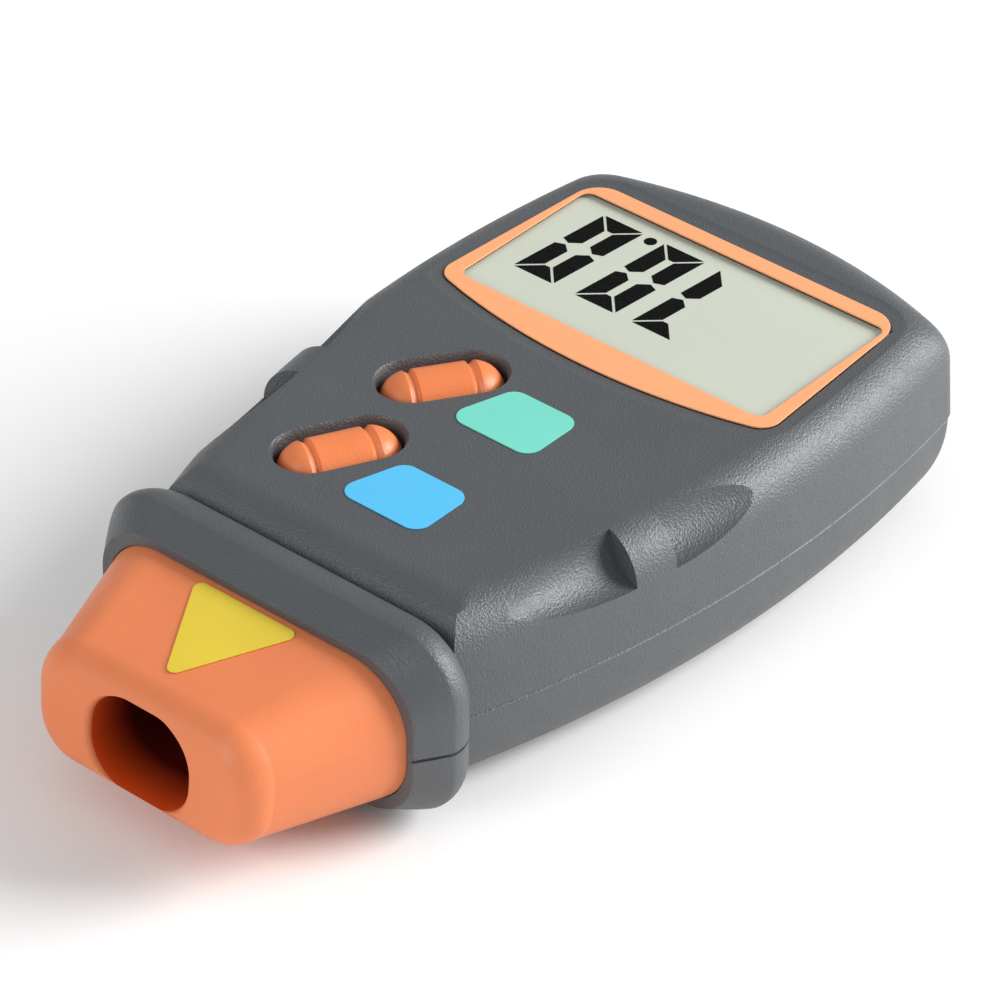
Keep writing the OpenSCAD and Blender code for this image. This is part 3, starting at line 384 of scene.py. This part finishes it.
def finish_piece(obj, name, body, material, nodes=(), angle=32):
    """Names, shades and paints a piece, and puts it on its body in place of the CAD nodes."""
    obj.name = obj.data.name = name
    obj.data.materials.clear()
    obj.data.materials.append(material)
    obj.data.shade_smooth()
    obj.data.set_sharp_from_angle(angle=math.radians(angle))
    step = obj.modifiers.new("normals", "WEIGHTED_NORMAL")
    step.keep_sharp, step.weight = True, 80
    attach(obj, body)
    if nodes:
        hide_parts(*nodes)
    return obj


# Housing solids

def upper_body():
    rings = [plan_ring(SEAM, SEAM, PART_Z), plan_ring(0, 0, PART_Z + SEAM)]
    for a in quarter(ROUND_STEPS):
        d = SIDE_DRAFT + TOP_ROUND * (1 - math.cos(a))
        rings.append(plan_ring(d, d, BODY_H - TOP_ROUND + TOP_ROUND * math.sin(a)))
    return loft(rings)


def upper_cavity():
    rise, run = PLATE_Z - (BODY_H - TOP_ROUND), TOP_ROUND - WALL
    rings = [plan_ring(WALL, WALL, PART_Z - PAST)]
    for a in quarter(CAVITY_STEPS):
        d = SIDE_DRAFT + WALL + run * (1 - math.cos(a))
        rings.append(plan_ring(d, d, BODY_H - TOP_ROUND + rise * math.sin(a)))
    return loft(rings)


def under_rings(w, floor_z, steps):
    """Rings of the lower half from its floor up to the parting line, inset by w."""
    rings = []
    seam = SEAM if w == 0 else 0
    for i in range(steps + 1):
        a = math.radians(90 * (1 - i / steps))
        run = 1 - max(math.cos(a), 0) ** (2 / UNDER_POWER)
        rise = 1 - math.sin(a) ** (2 / UNDER_POWER) if a > 0 else 1
        d = (UNDER_ROUND - w) * run
        rings.append(plan_ring(PART_STEP + w + d, PART_STEP + w + d * UNDER_FRONT_SHARE,
                               mix(floor_z, PART_Z - seam, rise)))
    if seam:
        rings.append(plan_ring(PART_STEP + seam, PART_STEP + seam, PART_Z))
    return rings


def lower_cavity():
    inset = PART_STEP + WALL
    return loft(under_rings(WALL, WALL, UNDER_STEPS // 2) + [plan_ring(inset, inset, PART_Z + PAST)])


def lower_body():
    return loft(under_rings(0, 0, UNDER_STEPS))


def collar_body(g=0.0):
    """The collar, shrunk by g."""
    rings = []
    for along, share in smooth_shares(COLLAR_SHARES, 5):
        e = COLLAR_FALL * max(share, 0)
        outline = slab_outline(
            COLLAR_HALF_W - e - g,
            COLLAR_BOTTOM + e * COLLAR_UNDER_SHARE + g,
            COLLAR_TOP - e * COLLAR_TOP_SHARE - g,
            COLLAR_R - g,
        )
        rings.append(across(outline, NECK_Y - COLLAR_L * along))
    return loft(rings)


def scoop(side, towards_tail, g=0.0):
    """One grip scoop, grown by g: half a spindle whose blunt end is at the rib."""
    length = SCOOP_TAIL_L if towards_tail else SCOOP_NOSE_L
    sense = 1 if towards_tail else -1
    rings = []
    for i in range(SCOOP_STATIONS + 1):
        s = i / SCOOP_STATIONS
        r = SCOOP_R + g - SCOOP_TAPER * s * s
        y = sense * (RIB_W / 2 - g + s * length)
        rings.append(across(circle(0, 0, r, SCOOP_POINTS), y))
    verts, faces = loft(rings)
    turn = Matrix.Rotation(math.radians(-SCOOP_TURN), 3, "Z")
    place = Vector((SCOOP_X, SCOOP_Y, SCOOP_Z))
    verts = [turn @ Vector(v) + place for v in verts]
    return [(side * v.x, v.y, v.z) for v in verts], faces


def scoops(g=0.0):
    return [scoop(side, tail, g) for side in (-1, 1) for tail in (True, False)]


def nose_outline(s, d):
    """Section of the nose at a share s of its length, inset by d."""
    half_w, low, high, r = (mix(a, b, s) for a, b in zip(NOSE_BASE, NOSE_TIP))
    return slab_outline(half_w - d, low + d, high - d, r - min(d, NOSE_RADIUS_KEPT))


def nose_rings(w, back):
    """Rings of the nose, inset by w, from back behind the collar's front to the leaning face."""
    base = nose_outline(0, w)
    rings = [across(base, COLLAR_FRONT_Y + back), across(base, COLLAR_FRONT_Y)]
    tip = nose_outline(1, w)
    for a in quarter(NOSE_STEPS):
        d = w + NOSE_ROUND * (1 - math.cos(a))
        ring = []
        for i in range(len(tip)):
            lean = NOSE_LEAN * (tip[i][1] - NOSE_LEAN_Z)
            x, z = nose_outline(1 - (NOSE_ROUND + w + lean) / NOSE_L, d)[i]
            y = TIP_Y + w + NOSE_LEAN * (z - NOSE_LEAN_Z) + NOSE_ROUND * (1 - math.sin(a))
            ring.append((x, y, z))
        rings.append(ring)
    return rings


def duct_outline(g):
    return slab_outline(APERTURE_HALF_W + g, APERTURE_Z - APERTURE_HALF_H - g,
                        APERTURE_Z + APERTURE_HALF_H + g, APERTURE_R + g)


def face_y(z):
    """Place of the leaning front face at height z."""
    return TIP_Y + NOSE_LEAN * (z - NOSE_LEAN_Z)


def aperture_tool():
    """Cut for the light opening: straight down the duct, flared over a rounded lip at the face."""
    rings = [across(duct_outline(0), TIP_Y + DUCT_L + PAST)]
    for a in quarter(LIP_STEPS):
        g = APERTURE_LIP * (1 - math.cos(a))
        off = APERTURE_LIP * (1 - math.sin(a))
        rings.append([(x, face_y(z) + off, z) for x, z in duct_outline(g)])
    rings.append([(x, face_y(z) - APERTURE_CLEAR, z) for x, z in duct_outline(APERTURE_LIP)])
    return loft(rings)


def collar_bore():
    """Cuts for the nose cover's rim, its flange and the passage behind it."""
    y0, y1 = COLLAR_FRONT_Y, COLLAR_FRONT_Y + NOSE_LIP
    return [
        upright(nose_outline(0, -SHELL_GAP), y0 - PAST, y1),
        upright(nose_outline(0, -FLANGE_RISE - SHELL_GAP), y1, y1 + FLANGE_T + 2 * SHELL_GAP),
        upright(nose_outline(0, PASSAGE_INSET), y1, FRONT_Y + WALL + PAST),
    ]


def well_tool(which):
    """Straight capsule hole with a sloped edge at the top face."""
    w, straight = BUTTON_W + 2 * BUTTON_GAP, BUTTON_L - BUTTON_W
    at = -BUTTON_X, BUTTON_Y[which], BUTTON_TURN[which]
    profile = ((PLATE_Z - PAST, 0), (BODY_H - WELL_DEPTH, 0), (BODY_H, WELL_SLOPE),
               (BODY_H + PAST, WELL_SLOPE))
    rings = []
    for z, g in profile:
        outline = capsule_outline(w + straight + 2 * g, w + 2 * g)
        rings.append(level(placed(outline, *at), z))
    return loft(rings)


def bezel_pocket():
    """Recess for the bezel, with the shallow dished band that runs round it."""
    profile = [(BODY_H - BEZEL_T - PANE_T, SHELL_GAP)]
    profile += [(BODY_H - depth, g) for depth, g in DISH]
    profile.append((BODY_H + PAST, DISH[-1][1]))
    return loft([level(bezel_outline(g), z) for z, g in profile])


def lcd_outline(g):
    y0, y1 = VIEW_FRONT_Y - LCD_RIM - g, VIEW_TAIL_Y + LCD_RIM + g
    w = VIEW_HALF_W + LCD_RIM + g
    return [(-w, y0), (w, y0), (w, y1), (-w, y1)]


def half_space(z0, z1):
    """Block between two heights that is wider and longer than the model."""
    return block(-HALF_REACH, HALF_REACH, -HALF_REACH, HALF_REACH, z0, z1)


def collar_seam(z0, z1):
    """Thin groove round the collar where its halves meet."""
    return cut(solid("seam", half_space(z0, z1)), collar_body(SEAM + PART_STEP))


def make_front_shell(material):
    collar = keep(solid("collar", collar_body()), half_space(PART_Z, HALF_HEIGHT))
    cut(collar, collar_seam(PART_Z - PAST, PART_Z + SEAM))
    shell = add(solid("shell", upper_body()), collar)
    cavity = cut(solid("cavity", upper_cavity()), *scoops(SCOOP_WALL))
    shell = cut(shell, cavity, *scoops(), *collar_bore())
    lcd_hole = prism(lcd_outline(SHELL_GAP), PLATE_Z - PAST, BODY_H + PAST)
    shell = cut(shell, bezel_pocket(), lcd_hole)
    shell = cut(shell, *[well_tool(which) for which in BUTTON_Y])
    return finish_piece(shell, "front_shell_moulding", "housing", material, ["front_shell"])


def battery_bay():
    w = BAY_HALF_W
    bay = solid("bay", block(-w - BAY_WALL, w + BAY_WALL, BAY_FRONT_Y - BAY_WALL,
                             BAY_END_Y + BAY_END_WALL, WALL - BAY_FLOOR_BITE, BAY_ROOF_Z + BAY_ROOF_T))
    return cut(bay, block(-w, w, BAY_FRONT_Y, BAY_END_Y, 0, BAY_ROOF_Z))


def cover_way():
    """Cuts for the battery cover's plate, its rails and its turned-up end."""
    w, out, top = BAY_HALF_W, TAIL_Y + PAST, WALL + COVER_GAP
    rail_w = w + RAIL_W
    return [
        block(-w, w, BAY_FRONT_Y, out, -PAST, top),
        block(-rail_w, rail_w, BAY_FRONT_Y, out, WALL - RAIL_H - COVER_GAP, top),
        block(-w, w, BAY_END_Y - BAY_SIDE_CUT, out, -PAST, WALL + PAST),
        block(-w, w, BAY_END_Y + BAY_END_WALL, out, -PAST, COVER_END_H + COVER_GAP),
    ]


def make_rear_shell(material):
    collar = keep(solid("collar", collar_body(PART_STEP / 2)), half_space(-HALF_HEIGHT, PART_Z))
    cut(collar, collar_seam(PART_Z - SEAM, PART_Z + PAST))
    collar = cut(collar, lower_cavity())
    skin = cut(solid("skin", lower_body()), lower_cavity())
    shell = add(skin, collar)
    for x, y in CASE_PLACES:
        boss = keep(solid("boss", disc(x, y, CASE_BOSS_R, -PAST, PART_Z)), lower_body())
        shell = add(shell, boss)
    shell = add(shell, battery_bay())
    shell = cut(shell, *collar_bore(), *cover_way())
    for x, y in CASE_PLACES:
        shell = cut(shell, disc(x, y, CASE_HEAD_R + SHELL_GAP, -PAST, CASE_SEAT_Z),
                    disc(x, y, CASE_BORE_R, CASE_SEAT_Z - PAST, PART_Z + PAST))
    return finish_piece(shell, "rear_shell_moulding", "housing", material, ["rear_shell"])


def make_battery_cover(material):
    w = BAY_HALF_W - COVER_GAP
    front = BAY_FRONT_Y + COVER_GAP
    skin = cut(solid("skin", lower_body()), lower_cavity())
    cover = keep(skin, block(-w, w, front, TAIL_Y + PAST, -PAST, COVER_END_H))
    bevel(cover, COVER_EDGE, 2, 60)
    y0, y1 = front + RAIL_FRONT, TAIL_Y - UNDER_ROUND - RAIL_TAIL
    for side in (-1, 1):
        x0, x1 = sorted((side * (w - RAIL_BITE), side * (w + RAIL_W)))
        add(cover, block(x0, x1, y0, y1, WALL - RAIL_H, WALL - RAIL_DROP))
    for i in range(GRIP_COUNT):
        y = front + GRIP_START + GRIP_PITCH * i
        half = GRIP_HALF_L - GRIP_SHORTER * i
        grip = capsule_outline(2 * half, GRIP_W, GRIP_STEPS)
        cut(cover, prism(placed(grip, 0, y, 0), -PAST, GRIP_DEPTH))
    return finish_piece(cover, "battery_cover_moulding", "cover", material, ["battery_cover"])


def in_duct(p):
    """Whether a face centre lies on the wall of the duct behind the light opening."""
    x, y, z = p / MM
    near = DUCT_SIDE_TOLERANCE
    side = abs(x) < APERTURE_HALF_W + near and abs(z - APERTURE_Z) < APERTURE_HALF_H + near
    return side and y > face_y(z) + APERTURE_LIP - DUCT_LIP_TOLERANCE


def make_nose_cover(material, duct_shade_material):
    outer = solid("nose", loft(nose_rings(0, NOSE_LIP + FLANGE_T)))
    inner = loft(nose_rings(NOSE_WALL, NOSE_LIP + FLANGE_T + PAST))
    duct = solid("duct", upright(duct_outline(DUCT_WALL), TIP_Y - PAST, TIP_Y + DUCT_L))
    keep(duct, loft(nose_rings(0, NOSE_LIP)))
    y = COLLAR_FRONT_Y + NOSE_LIP + SHELL_GAP
    flange = solid("flange", upright(nose_outline(0, -FLANGE_RISE), y, y + FLANGE_T))
    cut(flange, upright(nose_outline(0, NOSE_WALL), y - PAST, y + FLANGE_T + PAST))
    nose = add(cut(outer, inner), duct, flange)
    cut(nose, aperture_tool())
    finish_piece(nose, "nose_cover_moulding", "housing", material, ["nose_cover"])
    # The duct wall's faces take the material with painted shade
    nose.data.materials.append(duct_shade_material)
    for face in nose.data.polygons:
        face.material_index = int(in_duct(face.center))
    return nose


# Buttons

def groove_share(x):
    """0 away from a groove, 1 at its bottom, with rounded edges."""
    off = min(abs(abs(x) - GROOVE_X) / (GROOVE_W / 2 + GROOVE_EDGE), 1)
    return (1 - off ** 4) ** 2


def pill():
    """Button cap along X: a dome over straight skirts, with two grooves across it."""
    r, straight = BUTTON_W / 2, BUTTON_L - BUTTON_W
    low = PLATE_Z - FACE_GAP - BUTTON_FLANGE
    axis_z = BUTTON_TOP - r
    ends = [straight / 2 + r * math.sin(math.radians(a)) for a in range(0, 90, PILL_END_STEP)]
    ends.append(BUTTON_L / 2 - PILL_POLE)
    middle = [i * straight / 2 / PILL_STATIONS for i in range(PILL_STATIONS)]
    xs = sorted({round(s * x, 5) for x in middle + ends for s in (-1, 1)})
    rings = []
    for x in xs:
        over = max(abs(x) - straight / 2, 0)
        full = math.sqrt(max(r * r - over * over, 1e-4))
        rho = max(full - GROOVE_DEPTH * groove_share(x), 0.01)
        dome = [(x, rho * math.cos(math.radians(a)), axis_z + rho * math.sin(math.radians(a)))
                for a in range(0, 181, PILL_ROUND_STEP)]
        rings.append([(x, rho, low)] + dome + [(x, -rho, low)])
    return loft(rings)


def make_button(which, body, material):
    cap = solid("cap", pill())
    outline = capsule_outline(BUTTON_L + 2 * FLANGE_LIP, BUTTON_W + 2 * FLANGE_LIP)
    low = PLATE_Z - FACE_GAP - BUTTON_FLANGE
    add(cap, prism(outline, low, low + BUTTON_FLANGE))
    turn = Matrix.Rotation(math.radians(BUTTON_TURN[which]), 4, "Z")
    place = Matrix.Translation(Vector((-BUTTON_X, BUTTON_Y[which], 0)) * MM)
    cap.data.transform(place @ turn)
    return finish_piece(cap, which + "_button_cap", body, material, [which + "_button"], 40)


# Display

def make_bezel(material):
    view = slab_outline(VIEW_HALF_W, VIEW_FRONT_Y, VIEW_TAIL_Y, VIEW_R, VIEW_STEPS)
    bezel = solid("bezel", prism(bezel_outline(0), BODY_H - BEZEL_T, BODY_H))
    cut(bezel, prism(view, BODY_H - BEZEL_T - PAST, BODY_H + PAST))
    bevel(bezel, BEZEL_EDGE, 2)
    return finish_piece(bezel, "printed_bezel", "housing", material, ["display_bezel"])


def make_lcd(material):
    lcd = solid("lcd", prism(lcd_outline(0), LCD_TOP_Z - LCD_T, LCD_TOP_Z))
    bevel(lcd, LCD_EDGE, 2)
    return finish_piece(lcd, "display_glass_plate", "housing", material, ["lcd_panel"])


def bar_shapes():
    """Bars of one figure, x to the reader's right and y down, with mitred ends."""
    w, h, b, g = FIGURE_W, FIGURE_H, BAR_W, BAR_GAP
    m = h / 2
    tip = b * BAR_TIP_SHARE
    return {
        "a": [(g, 0), (w - g, 0), (w - b - g, b), (b + g, b)],
        "d": [(b + g, h - b), (w - b - g, h - b), (w - g, h), (g, h)],
        "f": [(0, g), (b, b + g), (b, m - tip - g), (b / 2, m - g), (0, m - tip * 0.5 - g)],
        "e": [(0, m + tip * 0.5 + g), (b / 2, m + g), (b, m + tip + g), (b, h - b - g), (0, h - g)],
        "b": [(w, g), (w, m - tip * 0.5 - g), (w - b / 2, m - g), (w - b, m - tip - g),
              (w - b, b + g)],
        "c": [(w, m + tip * 0.5 + g), (w, h - g), (w - b, h - b - g), (w - b, m + tip + g),
              (w - b / 2, m + g)],
    }


def make_figures(material):
    """Lit bars and the point, as thin plates on the display glass under the pane."""
    verts, faces = [], []
    z0 = LCD_TOP_Z + FIGURE_LIFT

    def lay(outline):
        v, f = prism(outline, z0, z0 + FIGURE_T)
        base = len(verts)
        verts.extend(v)
        faces.extend(tuple(i + base for i in face) for face in f)

    for figure, x0 in FIGURES:
        for name in LIT[figure]:
            lay([(x0 - x - FIGURE_SLANT * (FIGURE_H - y), FIGURE_TOP_Y + y)
                 for x, y in bar_shapes()[name]])
    lay(circle(POINT_X, FIGURE_TOP_Y + FIGURE_H - POINT_R, POINT_R, 36))
    return finish_piece(solid("figures", (verts, faces)), "display_figures", "housing", material)


def make_plate(name, node, outline, z0, thickness, material):
    """Flat piece on the housing with fine rounded edges."""
    plate = solid(name, prism(outline, z0, z0 + thickness))
    bevel(plate, FILM_EDGE, 2)
    return finish_piece(plate, name, "housing", material, [node])


# Materials

def principled(name, **sockets):
    """New material, its node tree, and its shader with the given sockets set."""
    material = bpy.data.materials.new(name)
    material.use_nodes = True
    tree = material.node_tree
    shader = tree.nodes["Principled BSDF"]
    for key, value in sockets.items():
        socket = shader.inputs[key.replace("_", " ").title().replace("Ior", "IOR")]
        socket.default_value = (*value, 1) if isinstance(value, tuple) else value
    return material, tree, shader


def noise(tree, scale, detail=2.0, rough=0.5):
    place = tree.nodes.new("ShaderNodeTexCoord")
    tex = tree.nodes.new("ShaderNodeTexNoise")
    tex.inputs["Scale"].default_value = scale
    tex.inputs["Detail"].default_value = detail
    tex.inputs["Roughness"].default_value = rough
    tree.links.new(place.outputs["Object"], tex.inputs["Vector"])
    return tex


def ramp(tree, source, low, high, first, last):
    """Colour ramp from the first colour to the last between two values of a source."""
    node = tree.nodes.new("ShaderNodeValToRGB")
    node.color_ramp.elements[0].position, node.color_ramp.elements[1].position = low, high
    node.color_ramp.elements[0].color = (*first, 1)
    node.color_ramp.elements[1].color = (*last, 1)
    tree.links.new(source, node.inputs["Fac"])
    return node


def bump(tree, shader, source, height_mm, strength=1.0):
    node = tree.nodes.new("ShaderNodeBump")
    node.inputs["Strength"].default_value = strength
    node.inputs["Distance"].default_value = height_mm * MM
    tree.links.new(source, node.inputs["Height"])
    tree.links.new(node.outputs["Normal"], shader.inputs["Normal"])


def varied(color, by):
    return tuple(max(0.0, c * (1 + by)) for c in color)


def moulded(name, color, roughness, grain_mm, grain_scale, spread=0.08, rough_spread=0.05, **extra):
    """Moulded plastic: fine grain in bump, with soft changes of colour and roughness."""
    material, tree, shader = principled(name, **extra)
    patches = noise(tree, 90, 3)
    dark, light = varied(color, -spread), varied(color, spread)
    tint = ramp(tree, patches.outputs["Fac"], 0.3, 0.7, dark, light)
    tree.links.new(tint.outputs["Color"], shader.inputs["Base Color"])
    rub = noise(tree, 260, 4, 0.6)
    gloss = tree.nodes.new("ShaderNodeMapRange")
    gloss.inputs["From Min"].default_value, gloss.inputs["From Max"].default_value = 0.3, 0.7
    gloss.inputs["To Min"].default_value = roughness - rough_spread
    gloss.inputs["To Max"].default_value = roughness + rough_spread
    tree.links.new(rub.outputs["Fac"], gloss.inputs["Value"])
    tree.links.new(gloss.outputs["Result"], shader.inputs["Roughness"])
    grain = noise(tree, grain_scale, 2, 0.6)
    bump(tree, shader, grain.outputs["Fac"], grain_mm)
    return material


def clear_pane(name):
    """Clear plastic: almost all light passes, with a faint smeared sheen."""
    material, tree, shader = principled(name, alpha=0.03, roughness=0.06, specular_ior_level=0.1)
    shader.inputs["Base Color"].default_value = (0.04, 0.045, 0.04, 1)
    smear = noise(tree, 120, 2)
    bump(tree, shader, smear.outputs["Fac"], 0.004, 0.3)
    return material


def metal(name, color, roughness):
    """Metal with fine uneven gloss and colour."""
    material, tree, shader = principled(name, metallic=1.0)
    lines = noise(tree, 900, 3)
    tint = ramp(tree, lines.outputs["Fac"], 0.3, 0.7, varied(color, -0.12), varied(color, 0.08))
    tree.links.new(tint.outputs["Color"], shader.inputs["Base Color"])
    gloss = tree.nodes.new("ShaderNodeMapRange")
    gloss.inputs["To Min"].default_value = roughness - 0.08
    gloss.inputs["To Max"].default_value = roughness + 0.12
    tree.links.new(lines.outputs["Fac"], gloss.inputs["Value"])
    tree.links.new(gloss.outputs["Result"], shader.inputs["Roughness"])
    bump(tree, shader, lines.outputs["Fac"], 0.01, 0.4)
    return material


def duct_wall(name):
    """The nose cover's plastic with painted shade: darker the deeper it lies behind the light opening.
    """
    material, tree, shader = principled(name, roughness=0.5, specular_ior_level=0.3)
    place = tree.nodes.new("ShaderNodeTexCoord")
    axes = tree.nodes.new("ShaderNodeSeparateXYZ")
    tree.links.new(place.outputs["Object"], axes.inputs["Vector"])
    depth = tree.nodes.new("ShaderNodeMapRange")
    depth.inputs["From Min"].default_value = (TIP_Y + DUCT_SHADE_START_DEPTH) * MM
    depth.inputs["From Max"].default_value = (TIP_Y + DUCT_SHADE_FULL_DEPTH) * MM
    tree.links.new(axes.outputs["Y"], depth.inputs["Value"])
    tint = ramp(tree, depth.outputs["Result"], 0.0, 1.0, DUCT_SHADE_NEAR_COLOR, DUCT_SHADE_DEEP_COLOR)
    tree.links.new(tint.outputs["Color"], shader.inputs["Base Color"])
    grain = noise(tree, 2200)
    bump(tree, shader, grain.outputs["Fac"], 0.03)
    return material


def make_materials():
    return {
        "shell": moulded("shell_grain", (0.066, 0.075, 0.083), 0.46, 0.15, 3000, 0.05,
                         specular_ior_level=0.95),
        "rear": moulded("rear_shell_grain", (0.072, 0.078, 0.083), 0.48, 0.15, 3000, 0.05,
                        specular_ior_level=0.95),
        "nose": moulded("nose_satin", (0.82, 0.235, 0.09), 0.45, 0.03, 2200, 0.03,
                        specular_ior_level=0.4),
        # Nose plastic with painted shade that darkens deeper in the duct
        "duct": duct_wall("duct_painted_shade"),
        "button": moulded("button_satin", (0.84, 0.225, 0.07), 0.4, 0.04, 2600, 0.05),
        "bezel": moulded("bezel_print", (0.92, 0.4, 0.18), 0.35, 0.004, 900, 0.02, 0.03),
        "lcd": moulded("display_glass", (0.635, 0.675, 0.575), 0.4, 0.002, 1500, 0.012, 0.02,
                       specular_ior_level=0.1),
        "figure": moulded("figure_black", (0.003, 0.0033, 0.0033), 0.5, 0.002, 1500, 0.1, 0.02,
                          specular_ior_level=0.05),
        "teal": moulded("teal_film", (0.18, 0.69, 0.56), 0.4, 0.006, 1200, 0.03, 0.03),
        "blue": moulded("blue_film", (0.09, 0.54, 0.9), 0.4, 0.006, 1200, 0.03, 0.03),
        "yellow": moulded("yellow_film", (0.8, 0.6, 0.045), 0.4, 0.006, 1200, 0.03, 0.03),
        "pane": clear_pane("pane_clear"),
    }


# Studio

def add_camera():
    data = bpy.data.cameras.new("camera")
    data.lens, data.sensor_width = CAMERA_LENS, SENSOR
    data.clip_start, data.clip_end = CLIP_NEAR, CLIP_FAR
    cam = bpy.data.objects.new("camera", data)
    bpy.context.scene.collection.objects.link(cam)
    cam.location = Vector(CAMERA_AT) * MM
    cam.rotation_euler = [math.radians(a) for a in CAMERA_TURN]
    bpy.context.scene.camera = cam


def add_area(name, at, size, power):
    """Round white light that faces the middle of the floor under the object."""
    data = bpy.data.lights.new(name, "AREA")
    data.shape, data.size, data.energy = "DISK", size, power
    light = bpy.data.objects.new(name, data)
    bpy.context.scene.collection.objects.link(light)
    light.location = at
    light.rotation_euler = (-Vector(at)).to_track_quat("-Z", "Y").to_euler()


def background_rays(tree):
    """1 for what the camera, a reflection or a view through glass sees, and 0 for other light."""
    path = tree.nodes.new("ShaderNodeLightPath")
    total = path.outputs["Is Camera Ray"]
    for ray in ("Is Glossy Ray", "Is Transmission Ray"):
        either = tree.nodes.new("ShaderNodeMath")
        either.operation, either.use_clamp = "ADD", True
        tree.links.new(total, either.inputs[0])
        tree.links.new(path.outputs[ray], either.inputs[1])
        total = either.outputs[0]
    return total


def add_floor():
    half = FLOOR_HALF
    floor = solid("floor", block(-half, half, -half, half, FLOOR_TOP_Z - FLOOR_T, FLOOR_TOP_Z))
    material, tree, shader = principled("floor_white", roughness=0.9)
    cloud = noise(tree, 3, 1)
    tint = ramp(tree, cloud.outputs["Fac"], 0.2, 0.8, (0.86, 0.86, 0.86), (0.88, 0.88, 0.88))
    seen = tree.nodes.new("ShaderNodeMixRGB")
    seen.inputs["Color2"].default_value = (0.97, 0.97, 0.97, 1)
    tree.links.new(background_rays(tree), seen.inputs["Fac"])
    tree.links.new(tint.outputs["Color"], seen.inputs["Color1"])
    tree.links.new(seen.outputs["Color"], shader.inputs["Base Color"])
    floor.data.materials.append(material)


def add_lights():
    world = bpy.data.worlds.new("world")
    bpy.context.scene.world = world
    world.use_nodes = True
    background = world.node_tree.nodes["Background"]
    background.inputs["Color"].default_value = (1, 1, 1, 1)
    background.inputs["Strength"].default_value = WORLD_STRENGTH
    for name, light in LIGHTS.items():
        add_area(name, **light)


# Films

def label_outline(which):
    """Rectangle with one slanted end, rounded at its corners."""
    x, y = LABEL_HALF_W, LABEL_HALF_L
    corners = [(-x, -y), (x, -y), (x, y), (LABEL_SLANT - x, y)]
    return placed(rounded_polygon(corners, LABEL_R), LABEL_X, LABEL_Y[which], 0)


def make_sticker(material):
    """Triangle on the sloping top of the nose, its point towards the tip."""
    side = STICKER_SIDE
    corners = [(side / 2, 0), (-side / 2, 0), (0, -side * math.sqrt(3) / 2)]
    sticker = solid("sticker", prism(rounded_polygon(corners, STICKER_R), 0, STICKER_T))
    slope = math.atan((NOSE_BASE[2] - NOSE_TIP[2]) / NOSE_L)
    base = Vector((0, COLLAR_FRONT_Y, NOSE_BASE[2] + STICKER_LIFT)) * MM
    margin = Matrix.Translation((0, -STICKER_MARGIN * MM, 0))
    sticker.data.transform(Matrix.Translation(base) @ Matrix.Rotation(slope, 4, "X") @ margin)
    bevel(sticker, FILM_EDGE, 2)
    return finish_piece(sticker, "nose_sticker_film", "housing", material, ["nose_sticker"])


def paint_nodes(m):
    """Gives every CAD node a node-based material, chosen by its slot."""
    looks = {
        "holder_plastic": moulded("holder_matte", (0.02, 0.02, 0.022), 0.6, 0.03, 2000),
        "contact_rubber": moulded("contact_rubber_soft", (0.5, 0.22, 0.28), 0.7, 0.03, 2500),
        "board_laminate": moulded("board_mask", (0.02, 0.15, 0.055), 0.32, 0.01, 1500),
        "chip_plastic": moulded("chip_moulding", (0.018, 0.018, 0.02), 0.55, 0.02, 3000),
        "plated_steel": metal("plated_steel_brushed", (0.62, 0.62, 0.63), 0.3),
        "can_sleeve": moulded("can_sleeve_film", (0.03, 0.04, 0.16), 0.3, 0.01, 1200),
        "switch_plastic": moulded("switch_moulding", (0.04, 0.04, 0.045), 0.5, 0.02, 2500),
        "plunger_plastic": moulded("plunger_moulding", (0.25, 0.14, 0.07), 0.45, 0.02, 2500),
        "dark_window": moulded("window_dark_red", (0.035, 0.004, 0.005), 0.08, 0.002, 800, 0.1,
                               0.03),
        "clear_lens": clear_pane("lens_clear"),
        "barrel_brass": metal("barrel_brass_turned", (0.78, 0.55, 0.2), 0.3),
        "dark_epoxy": moulded("epoxy_dark", (0.015, 0.015, 0.04), 0.15, 0.003, 900),
        "ribbon_film": moulded("ribbon_film_pale", (0.72, 0.72, 0.68), 0.35, 0.01, 1200),
        "battery_case": moulded("battery_jacket", (0.10, 0.12, 0.16), 0.3, 0.008, 700, 0.06,
                                0.08, metallic=0.6),
        "snap_vinyl": moulded("snap_vinyl_soft", (0.02, 0.02, 0.02), 0.5, 0.03, 1800),
        "red_wire": moulded("red_insulation", (0.55, 0.03, 0.03), 0.4, 0.01, 1500),
        "black_wire": moulded("black_insulation", (0.02, 0.02, 0.02), 0.4, 0.01, 1500),
        "foam": moulded("foam_cells", (0.11, 0.11, 0.11), 0.9, 0.25, 1300),
    }
    for name, obj in NODES.items():
        look = looks.get(SLOTS.get(name), m["shell"])
        for slot in obj.material_slots:
            slot.material = look


def make_pieces():
    m = make_materials()
    paint_nodes(m)
    make_front_shell(m["shell"])
    make_rear_shell(m["rear"])
    make_battery_cover(m["rear"])
    make_nose_cover(m["nose"], m["duct"])
    make_bezel(m["bezel"])
    make_lcd(m["lcd"])
    make_figures(m["figure"])
    make_plate("window_pane", "display_window", bezel_outline(0), BODY_H - BEZEL_T - PANE_T,
               PANE_T, m["pane"])
    make_button("test", "test_key", m["button"])
    make_button("mem", "mem_key", m["button"])
    for which, film in (("test", "teal"), ("mem", "blue")):
        make_plate(which + "_label_film", which + "_label", label_outline(which), BODY_H,
                   LABEL_T, m[film])
    make_sticker(m["yellow"])


add_camera()
add_floor()
add_lights()
make_pieces()
bpy.context.scene.view_settings.view_transform = "Standard"
